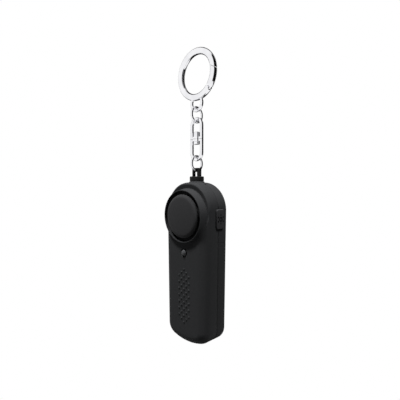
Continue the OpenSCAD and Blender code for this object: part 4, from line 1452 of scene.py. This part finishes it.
@dataclass
class LightButton:
    """The push button on the side, across the seam, with a generic lamp symbol."""

    casing: Casing
    inner_x: float = 12.93
    flange_x: float = 13.63
    flange: float = 0.5
    face_x: float = 16.28
    edge: float = 0.5
    crown: float = 0.1
    # Share of the crown still to rise, and depth inside the button's outline
    crown_rows: tuple[Point2, ...] = ((0.35, 1.2), (0.0, 2.2))
    least_corner: float = 0.3
    bulb_r: float = 1.2
    stroke: float = 0.6
    ray_from: float = 1.65
    ray_to: float = 2.5
    ray_corner: float = 0.1
    ray_count: int = 6
    ink_t: float = 0.02
    ink_root: float = 0.2

    def build(self) -> None:
        """Builds the button and the printed symbol on it."""
        casing = self.casing
        middle = (0.0, casing.button_y, casing.button_z)
        side_x = self.face_x - self.crown - self.edge
        sections = [(x, -self.flange) for x in (self.inner_x, self.flange_x)]
        sections += [(self.flange_x, 0.0), (side_x, 0.0)]
        sections += [(side_x + self.edge * s, self.edge * c) for s, c in quarter_round(6)[1:]]
        sections += [(self.face_x - self.crown * share, depth) for share, depth in self.crown_rows]
        rings = []
        for x, depth in sections:
            corner = max(casing.button_corner - depth, self.least_corner)
            plan = rounded_rect(casing.button_w - 2 * depth, casing.button_h - 2 * depth, corner)
            rings.append([Axis.X.place(middle, a, u, x) for a, u in plan])
        button = Draft().loft(rings).piece("light_button_skin", 40)
        dress(button, Finishes.BUTTON, "light_button", "light_button")
        low, high = self.face_x - self.ink_root, self.face_x + self.ink_t
        loops = [circle((0, 0), radius, 36) for radius in (self.bulb_r, self.bulb_r - self.stroke)]
        mark = Draft().plate(loops, Axis.X, (low, *middle[1:]), high - low)
        dress(mark.piece("button_symbol_ring"), Finishes.INK, "light_button")
        half, corner = self.stroke / 2, self.ray_corner
        spots = ((-half, self.ray_from), (half, self.ray_from), (half, self.ray_to), (-half, self.ray_to))
        plan = eased([(*spot, corner) for spot in spots], True, 3)
        ray = Draft().prism(plan, Axis.X, (0, 0, 0), (low, high)).piece("symbol_ray")
        rays = repeat_round(ray, "button_symbol_rays", Finishes.INK, self.ray_count, Axis.X, middle)
        dress(rays, Finishes.INK, "light_button")


@dataclass
class PullPin:
    """The plug on the crown with its eye above and its shank and blade below."""

    eye_w: float = 5.2
    eye_t: float = 1.6
    eye_top: float = -48.65
    eye_corner: float = 0.45
    eye_hole_w: float = 2.6
    eye_hole_x: float = -0.4
    eye_hole_top: float = -49.35
    plug_r: float = 3.75
    plug_top: float = -53.1
    plug_bottom: float = -55.6
    plug_edge: float = 0.45
    plug_foot_edge: float = 0.15
    shank_r: float = 2.3
    shank_root: float = 0.2
    shank_end: float = -60.0
    shank_edge: float = 0.4
    blade_end: float = -63.0
    blade_w: float = 2.0
    blade_t: float = 0.9
    blade_corner: float = 0.2
    # How deep the eye and the blade are set in, and the rounding of all edges
    root: float = 0.5
    edge: float = 0.15

    def arch(self, name: str, sides: Point2, heights: Point2, radius: float, depth: float) -> Object:
        """Upright solid with two rounded upper corners.

        Args:
            name: name of the solid.
            sides: places of its left and right side.
            heights: its lower and upper end.
            radius: rounding of the corners.
            depth: its thickness from front to back.

        Returns:
            The solid.
        """
        (left, right), (low, top) = sides, heights
        outline = eased([(left, low, 0), (right, low, 0), (right, top, radius), (left, top, radius)], True)
        ends = (-depth / 2, depth / 2)
        return Draft().prism([(z, x) for x, z in outline], Axis.Y, (0, 0, 0), ends).piece(name)

    def build(self) -> None:
        """Builds the pin."""
        profile = [
            (0.0, self.plug_top, 0),
            (self.plug_r, self.plug_top, self.plug_edge),
            (self.plug_r, self.plug_bottom, self.plug_foot_edge),
            (self.shank_r, self.plug_bottom, self.shank_root),
            (self.shank_r, self.shank_end, self.shank_edge),
            (0.0, self.shank_end, 0),
        ]
        pin = Draft().turn(eased(profile), Axis.Z, (0, 0, 0), 96).piece("pull_pin_skin")
        half, heights = self.eye_w / 2, (self.plug_top - self.root, self.eye_top)
        loop = self.arch("eye_loop", (-half, half), heights, self.eye_corner, self.eye_t)
        half, heights = self.eye_hole_w / 2, (self.plug_top, self.eye_hole_top)
        sides = (self.eye_hole_x - half, self.eye_hole_x + half)
        carve(loop, self.arch("eye_opening", sides, heights, self.eye_hole_w / 3, 2 * self.eye_t))
        carve(pin, loop, Cut.JOIN)
        plan = rounded_rect(self.blade_t, self.blade_w, self.blade_corner, 3)
        blade = Draft().prism(plan, Axis.Z, (0, 0, 0), (self.shank_end + self.root, self.blade_end))
        carve(pin, blade.piece("blade"), Cut.JOIN)
        soften(pin, self.edge)
        dress(pin, Finishes.PIN, "pull_pin", "pull_pin")


@dataclass
class Chain:
    """The two wire links and the swivel between the key ring and the pull pin."""

    link_wire: float = 1.3
    link_r: float = 3.7
    link_straight: float = 0.2
    # Body and height of the middle of the upper wire
    links: tuple[tuple[str, float], ...] = (("upper_link", -17.1), ("lower_link", -42.55))
    # Body of each half of the swivel, height of its base, and 1 if its loop points up or -1 if down
    bails: tuple[tuple[str, float, int], ...] = (("swivel_upper", -33.55, 1), ("swivel_lower", -33.7, -1))
    bail_wire: float = 1.8
    bail_r: float = 3.55
    bail_h: float = 11.4
    bail_edge: float = 0.14
    bail_root: float = 0.3
    base_t: float = 1.1
    base_r: float = 2.2
    bore_r: float = 0.8
    bore_gap: float = 0.05
    head_r: float = 1.6
    # Roundings of the rivet's heads, outside and at the seat
    head_edges: Point2 = (0.35, 0.12)
    # Rivet from the lower head's end to the upper head's end
    rivet_heights: tuple[float, ...] = (-36.3, -34.8, -32.4, -29.8)

    def bail(self, body: str, base: float, way: int) -> None:
        """Builds one half of the swivel: a bent wire on a flat base with the rivet's hole.

        Args:
            body: CAD body that it moves with.
            base: height of the flat side of its base.
            way: 1 if its loop points up and -1 if down.
        """
        top = self.bail_h - self.bail_wire / 2
        arc = oval(self.bail_r, 0.0, top)[: OVAL_STEPS + 1]
        line = [(self.bail_r, self.bail_root), *arc, (-self.bail_r, self.bail_root)]
        path = [(x, 0.0, base + way * z) for x, z in line]
        loop = wire(f"{body}_bail_skin", path, False, self.bail_wire, 40, Finishes.CHROME)
        middle, half = (0, 0, base), self.bail_wire / 2
        plan = rounded_rect(2 * (self.bail_r + half), 2 * half, half - 0.01)
        foot = Draft().prism(plan, Axis.Z, middle, (0.0, way * self.base_t))
        carve(loop, foot.piece("bail_foot"), Cut.JOIN)
        low, high = sorted((0.0, way * self.base_t))
        disc = Draft().turn([(self.base_r, low), (self.base_r, high)], Axis.Z, middle, 48)
        carve(loop, disc.piece("bail_disc"), Cut.JOIN)
        bore = Draft().turn([(self.bore_r, low - PAST), (self.bore_r, high + PAST)], Axis.Z, middle, 32)
        carve(loop, bore.piece("rivet_hole"))
        soften(loop, self.bail_edge, 3)
        dress(loop, Finishes.CHROME, body, f"{body}_bail")

    def build(self) -> None:
        """Builds the links, the two bails and the rivet."""
        for name, top in self.links:
            path = [(0.0, across, z) for across, z in oval(self.link_r, self.link_straight, top)]
            link = wire(f"{name}_wire", path, True, self.link_wire, 36, Finishes.CHROME)
            dress(link, Finishes.CHROME, name, name)
        for body, base, way in self.bails:
            self.bail(body, base, way)
        low, low_seat, high_seat, high = self.rivet_heights
        head, shank, (out, seat) = self.head_r, self.bore_r - self.bore_gap, self.head_edges
        lower = [(0.0, low, 0), (head, low, out), (head, low_seat, seat), (shank, low_seat, 0)]
        upper = [(shank, high_seat, 0), (head, high_seat, seat), (head, high, out), (0.0, high, 0)]
        rivet = Draft().turn(eased(lower + upper), Axis.Z, (0, 0, 0), 64)
        dress(rivet.piece("swivel_rivet_skin"), Finishes.CHROME, "swivel_lower", "swivel_rivet")


@dataclass
class KeyRing:
    """The spring-gate ring with its cast eyelet, its gate and the gate's hinge pin."""

    radius: float = 11.75
    wire: float = 3.5
    # Angles of the gate's joint and hinge on the ring, the joint's slant, and the room and depth for its cut
    joint: float = 8.0
    hinge: float = -47.0
    bevel: float = 32.0
    bevel_room: float = 18.0
    # In diameters of the wire
    bevel_depth: float = 1.65
    gap: float = 0.3
    eyelet_r: float = 3.7
    eyelet_wire: float = 1.6
    eyelet_z: float = -14.9
    eyelet_straight: float = 0.05
    knuckle_r: float = 1.3
    knuckle_gap: float = 0.35
    # Share by which the bar reaches past the knuckle before it is trimmed
    knuckle_past: float = 1.1
    tongue_r: float = 1.0
    tongue_room: float = 0.35
    tongue_t: float = 1.1
    tongue_slot_t: float = 1.3
    pin_r: float = 0.5
    pin_half: float = 1.44
    pin_edge: float = 0.2
    edge: float = 0.12

    def spot(self, angle: float, out: float = 0.0, along: float = 0.0) -> Point3:
        """Place on the ring at an angle in degrees, outwards from its middle line and along Y."""
        turn = math.radians(angle)
        return ((self.radius + out) * math.cos(turn), along, (self.radius + out) * math.sin(turn))

    def sweep(self, section: Sequence[Point2], start: float, turn: float, name: str, steps: int = 24) -> Object:
        """Carries a section round part of the ring.

        Args:
            section: its points outwards from the middle line and along Y.
            start: first angle in degrees.
            turn: angle that it covers, in degrees.
            name: name of the solid.
            steps: number of steps.

        Returns:
            The solid.
        """
        angles = [start + turn * k / steps for k in range(steps + 1)]
        return Draft().loft([[self.spot(angle, *point) for point in section] for angle in angles]).piece(name)

    def round_bar(self, start: float, turn: float, name: str) -> Object:
        """Part of the ring's round bar."""
        return self.sweep(circle((0, 0), self.wire / 2, 48), start, turn, name, max(int(abs(turn) * 0.75), 24))

    def band(self, width: float, thickness: float, turn: float) -> Object:
        """Part of a flat band on the ring's middle line, from the hinge on."""
        w, t = width / 2, thickness / 2
        return self.sweep([(-w, -t), (w, -t), (w, t), (-w, t)], self.hinge, turn, "band")

    def rod(self, radius: float, length: float) -> Object:
        """Rod along Y through the hinge."""
        profile = [(radius, -length / 2), (radius, length / 2)]
        return Draft().turn(profile, Axis.Y, self.spot(self.hinge), 48).piece("hinge_rod")

    def gate_cut(self, side: int) -> Object:
        """Solid that trims the slanted joint of the gate.

        Args:
            side: 1 for the gate and -1 for the ring.

        Returns:
            The solid.
        """
        across, depth = 2 * self.wire, self.bevel_depth * self.wire
        low = -self.gap / 2 if side > 0 else self.gap / 2 - depth
        draft = Draft().block((-across, -across, low), (across, across, low + depth))
        slant, (middle_x, _, middle_z) = math.radians(self.bevel), self.spot(self.joint)
        cos, sin = math.cos(slant), math.sin(slant)
        draft.points = [
            (middle_x + x * cos + z * sin, y, middle_z - x * sin + z * cos) for x, y, z in draft.points
        ]
        return draft.piece("gate_joint")

    def build(self) -> None:
        """Builds the ring, the gate and the pin."""
        wide = 2 * self.wire
        knuckle_turn = math.degrees(self.knuckle_r / self.radius)
        full_turn = 360 + self.hinge - self.joint + self.bevel_room + self.knuckle_past * knuckle_turn
        ring = self.round_bar(self.joint - self.bevel_room, full_turn, "key_ring_skin")
        path = oval(self.eyelet_r, self.eyelet_straight, self.eyelet_z + self.eyelet_r)
        loop = [(x, 0.0, z) for x, z in path]
        carve(ring, wire("eyelet", loop, True, self.eyelet_wire, 40, Finishes.CHROME), Cut.JOIN)
        carve(ring, self.gate_cut(-1))
        end = self.band(wide, wide, 2 * knuckle_turn)
        carve(end, self.rod(self.knuckle_r, 3 * self.wire))
        carve(ring, end)
        carve(ring, self.rod(self.tongue_r + self.tongue_room, self.tongue_slot_t))
        carve(ring, self.band(wide, self.tongue_slot_t, 2 * knuckle_turn))
        soften(ring, self.edge)
        dress(ring, Finishes.CHROME, "key_ring", "key_ring")
        gate_turn = math.degrees((self.knuckle_r + self.knuckle_gap) / self.radius)
        bar_turn = self.joint - self.hinge - gate_turn + self.bevel_room
        gate = self.round_bar(self.hinge + gate_turn, bar_turn, "ring_gate_skin")
        carve(gate, self.gate_cut(1))
        tongue = self.band(2 * self.tongue_r, self.tongue_t, 2 * gate_turn)
        carve(tongue, self.rod(self.tongue_r, self.tongue_t), Cut.JOIN)
        carve(gate, tongue, Cut.JOIN)
        soften(gate, self.edge)
        dress(gate, Finishes.CHROME, "ring_gate", "ring_gate")
        half, edge = self.pin_half, self.pin_edge
        profile = [(0, -half, 0), (self.pin_r, -half, edge), (self.pin_r, half, edge), (0, half, 0)]
        pin = Draft().turn(eased(profile), Axis.Y, self.spot(self.hinge), 32)
        dress(pin.piece("gate_pin_skin"), Finishes.CHROME, "key_ring", "gate_pin")


@dataclass
class Battery:
    """The two cells and their springs behind the door."""

    radius: float = 5.25
    length: float = 44.5
    edge: float = 0.5
    nub_r: float = 1.9
    nub_h: float = 1.0
    nub_edge: float = 0.3
    # Flat end and crimped end: how far in from the side each starts and ends to sink, and how deep
    flat_rim: Point2 = (1.2, 1.4)
    flat_sink: float = 0.15
    crimp_rim: Point2 = (1.0, 1.2)
    crimp_sink: float = 0.2
    end_edge: float = 0.1
    band: float = 9.0
    x: float = 5.35
    y: float = 0.6
    top_z: float = -89.5
    low_z: float = -136.4
    spring_wire: float = 0.5
    spring_base_r: float = 3.2
    spring_tip_r: float = 2.0
    spring_h: float = 2.2
    spring_turns: float = 2.5
    spring_steps: int = 90
    spring_gap: float = 0.1
    # Plain slate foil, and a dull silver band at the nub's end
    slate: str = "#3d4a5c"
    silver: str = "#aeb2b6"

    def cell(self, name: str, x: float, base: float, way: int) -> None:
        """Builds one cell.

        Args:
            name: its CAD node.
            x: its place across.
            base: height of its flat end.
            way: 1 if its nub points up and -1 if down.
        """
        low, high = sorted((base, base + way * self.length))
        lower, upper, change_z = (self.slate, self.silver, high - self.band)
        if way < 0:
            lower, upper, change_z = (self.silver, self.slate, low + self.band)
        jacket = FoilJacket(f"foil_jacket_{name}", lower, upper, low, change_z, high, slot=Slot.CELL)
        can, side, small = self.length - self.nub_h, self.radius, self.end_edge
        flat = [side - rim for rim in self.flat_rim]
        crimp = [side - rim for rim in self.crimp_rim]
        corners = [
            (0.0, self.flat_sink, 0),
            (flat[1], self.flat_sink, small),
            (flat[0], 0.0, small),
            (side, 0.0, self.edge),
            (side, can, self.edge),
            (crimp[0], can, small),
            (crimp[1], can - self.crimp_sink, small),
            (self.nub_r, can - self.crimp_sink, small),
            (self.nub_r, self.length, self.nub_edge),
            (0.0, self.length, 0),
        ]
        profile = [(r, way * h) for r, h in eased(corners)]
        can_piece = Draft().turn(profile, Axis.Z, (x, self.y, base), 72).piece(f"{name}_can")
        dress(can_piece, jacket, "casing", name)

    def spring(self, name: str, x: float, base: float, way: int, *nodes: str) -> None:
        """Builds one conical spring.

        Args:
            name: name of the piece.
            x: its place across.
            base: height of its wide end.
            way: 1 if it points up and -1 if down.
            nodes: CAD nodes that it stands for.
        """
        path = []
        for share in np.linspace(0, 1, self.spring_steps + 1):
            angle = 2 * math.pi * self.spring_turns * share
            radius = self.spring_base_r + (self.spring_tip_r - self.spring_base_r) * share
            rise = self.spring_wire / 2 + (self.spring_h - self.spring_wire) * share
            path.append((x + radius * math.cos(angle), self.y + radius * math.sin(angle), base + way * rise))
        spring = wire(name, path, False, self.spring_wire, 14, Finishes.NICKEL)
        dress(spring, Finishes.NICKEL, "casing", *nodes)

    def build(self) -> None:
        """Builds the cells and the springs."""
        self.cell("cell_left", -self.x, self.top_z - self.length, 1)
        self.cell("cell_right", self.x, self.low_z + self.length, -1)
        self.spring("cell_spring_left", -self.x, self.low_z + self.spring_gap, 1, "cell_springs")
        self.spring("cell_spring_right", self.x, self.top_z - self.spring_gap, -1)


@dataclass
class Works:
    """CAD nodes that keep their shape and only take a finish."""

    frame: dict
    finishes: tuple[tuple[Finish, tuple[str, ...]], ...] = (
        (Finishes.INNER, ("battery_tray", "siren_holder", "light_switch")),
        (Finishes.RUBBER, ("siren_gasket",)),
        (Finishes.BRASS, ("piezo_plate",)),
        (Finishes.CERAMIC, ("piezo_ceramic",)),
        (Finishes.LEAD, ("piezo_leads",)),
        (Finishes.BOARD, ("circuit_board",)),
        (Finishes.FERRITE, ("boost_coil",)),
        (Finishes.CHIP, ("control_chip",)),
        (Finishes.NICKEL, ("lamp_leads", "pin_contacts", "battery_contacts", "series_link", "gate_spring")),
        (Finishes.BLACKENED, ("tray_screws",)),
        (Finishes.PIN, ("switch_plunger",)),
    )

    def build(self) -> None:
        """Dresses the pieces inside the casing and the ring."""
        for finish, name in [(finish, name) for finish, names in self.finishes for name in names]:
            node = self.frame["nodes"][name]
            if not node.material_slots:
                node.data.materials.append(finish.material())
            for slot in node.material_slots:
                slot.material = finish.material()
            LOG.info("%s takes %s", name, finish.name)


@dataclass
class Studio:
    """Camera, soft light and a plain white surround."""

    eye: Point3 = (125.22, -126.99, -57.79)
    target: Point3 = (5.976, -3.767, -65.253)
    lens: float = 30.31
    sensor: float = 36.0
    # Nearest and farthest distance that the camera sees, in metres
    clip: Point2 = (0.005, 20.0)
    floor_z: float = -1200.0
    floor_half: float = 2500.0
    ambient: float = 0.06
    # Name, angle to the camera's right and above the level, distance, side and watts of each soft light
    softboxes: tuple[tuple[str, float, float, float, float, float], ...] = (
        ("key_softbox", -66, 68, 600, 110, 7.9),
        ("right_softbox", 50, 56, 600, 180, 4.0),
        ("rear_softbox", 180, 10, 700, 300, 4.5),
    )
    # Name, angles to the camera's right and angles above the level of each dark card
    flags: tuple[tuple[str, Point2, Point2], ...] = (
        ("right_flag", (14, 128), (-25, 72)),
        ("back_flag", (136, 212), (-75, 75)),
    )
    flag_distance: float = 900.0
    # White-painted board of the floor, and black felt of the cards
    board: str = "#e6e6e6"
    felt: str = "#161616"

    def toward(self, turn: float, lift: float, distance: float) -> Vector:
        """Place seen from the object at an angle from the camera's direction.

        Args:
            turn: angle to the camera's right, in degrees.
            lift: angle above the level, in degrees.
            distance: distance from the target.

        Returns:
            The place, in millimetres.
        """
        back = Vector(self.eye) - Vector(self.target)
        around = math.atan2(back.y, back.x) + math.radians(turn)
        up = math.radians(lift)
        way = Vector((math.cos(up) * math.cos(around), math.cos(up) * math.sin(around), math.sin(up)))
        return Vector(self.target) + way * distance

    def aim(self, name: str, data: bpy.types.ID, place: Vector) -> Object:
        """Puts a camera or light at a place and points it at the object.

        Args:
            name: its name.
            data: the camera or light.
            place: its place, in millimetres.

        Returns:
            Its object.
        """
        thing = put_object(name, data)
        thing.location = place * MM
        thing.rotation_euler = (Vector(self.target) - place).to_track_quat("-Z", "Y").to_euler()
        return thing

    def camera(self) -> None:
        """Puts the camera where the photograph was taken from."""
        data = bpy.data.cameras.new("camera")
        data.lens = self.lens
        data.sensor_width = self.sensor
        data.clip_start, data.clip_end = self.clip
        bpy.context.scene.camera = self.aim("camera", data, Vector(self.eye))

    def seen_white(self, tree: NodeTree, unseen: bpy.types.Node, white: bpy.types.Node) -> bpy.types.Node:
        """Shows a white shader to rays that look at the surround: from the camera, a mirror or through glass.

        Args:
            tree: node tree that the mix goes in.
            unseen: shader for all other rays.
            white: shader for those rays.

        Returns:
            The mixed shader.
        """
        path = add_node(tree, "ShaderNodeLightPath").outputs
        seen = path["Is Camera Ray"]
        for other in ("Is Glossy Ray", "Is Transmission Ray"):
            links = {0: seen, 1: path[other]}
            seen = add_node(tree, "ShaderNodeMath", {"operation": "MAXIMUM"}, links).outputs[0]
        return add_node(tree, "ShaderNodeMixShader", links={0: seen, 1: unseen.outputs[0], 2: white.outputs[0]})

    def world(self) -> None:
        """Makes a world that looks white and gives an even, weaker light."""
        world = bpy.data.worlds.new("white_surround")
        world.use_nodes = True
        tree = world.node_tree
        tree.nodes.clear()
        fill, white = (
            add_node(tree, "ShaderNodeBackground", {"Color": linear(WHITE), "Strength": strength})
            for strength in (self.ambient, 1.0)
        )
        mix = self.seen_white(tree, fill, white)
        add_node(tree, "ShaderNodeOutputWorld", links={"Surface": mix.outputs[0]})
        bpy.context.scene.world = world

    def floor(self) -> None:
        """Lays a plain white floor well below the hanging alarm."""
        half = self.floor_half
        draft = Draft()
        corners = [(-half, -half), (half, -half), (half, half), (-half, half)]
        draft.faces.append(tuple(draft.ring([(x, y, self.floor_z) for x, y in corners])))
        floor = draft.piece("floor")
        material, tree = new_material("painted_white_board")
        board = add_node(tree, "ShaderNodeBsdfDiffuse", {"Color": linear(self.board)})
        glow = add_node(tree, "ShaderNodeEmission", {"Color": linear(WHITE), "Strength": 1.0})
        close_surface(tree, self.seen_white(tree, board, glow))
        floor.data.materials.append(material)

    def flag(self, name: str, turns: Point2, lifts: Point2) -> None:
        """Hangs a curved dark card that only reflections show.

        Args:
            name: name of the card.
            turns: its two ends, as angles to the camera's right in degrees.
            lifts: its lower and upper edge, as angles above the level in degrees.
        """
        draft = Draft()
        across, up = np.linspace(*turns, 16), np.linspace(*lifts, 10)
        rows = [[tuple(self.toward(turn, lift, self.flag_distance)) for turn in across] for lift in up]
        draft.skin([draft.ring(row) for row in rows], False)
        card = draft.piece(name)
        material, tree = new_material(f"{name}_black_felt")
        close_surface(tree, add_node(tree, "ShaderNodeBsdfDiffuse", {"Color": linear(self.felt)}))
        card.data.materials.append(material)
        card.visible_camera = False
        card.visible_diffuse = False
        card.visible_transmission = False
        card.visible_shadow = False

    def softbox(self, name: str, turn: float, lift: float, distance: float, size: float, power: float) -> None:
        """Hangs a square soft light that faces the object and that reflections don't show.

        Args:
            name: name of the light.
            turn: angle to the camera's right, in degrees.
            lift: angle above the level, in degrees.
            distance: distance from the object.
            size: side of its square.
            power: its power in watts.
        """
        data = bpy.data.lights.new(name, "AREA")
        data.shape = "SQUARE"
        data.size = size * MM
        data.energy = power
        light = self.aim(name, data, self.toward(turn, lift, distance))
        light.visible_camera = False
        light.visible_glossy = False

    def build(self) -> None:
        """Sets up the camera, the surround, the lights and the dark cards."""
        bpy.context.scene.view_settings.view_transform = "Standard"
        self.camera()
        self.world()
        self.floor()
        for softbox in self.softboxes:
            self.softbox(*softbox)
        for flag in self.flags:
            self.flag(*flag)


def main() -> None:
    """Builds the alarm piece by piece."""
    logging.basicConfig(level=logging.INFO, format="%(name)s: %(message)s")
    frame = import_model()
    casing = Casing()
    parts = (
        *(Studio(), casing, Siren(casing.siren_z), Lamp(casing.lamp_z), LightButton(casing)),
        *(PullPin(), Chain(), KeyRing(), Battery(), Works(frame)),
    )
    for part in parts:
        part.build()


if __name__ == "__main__":
    main()
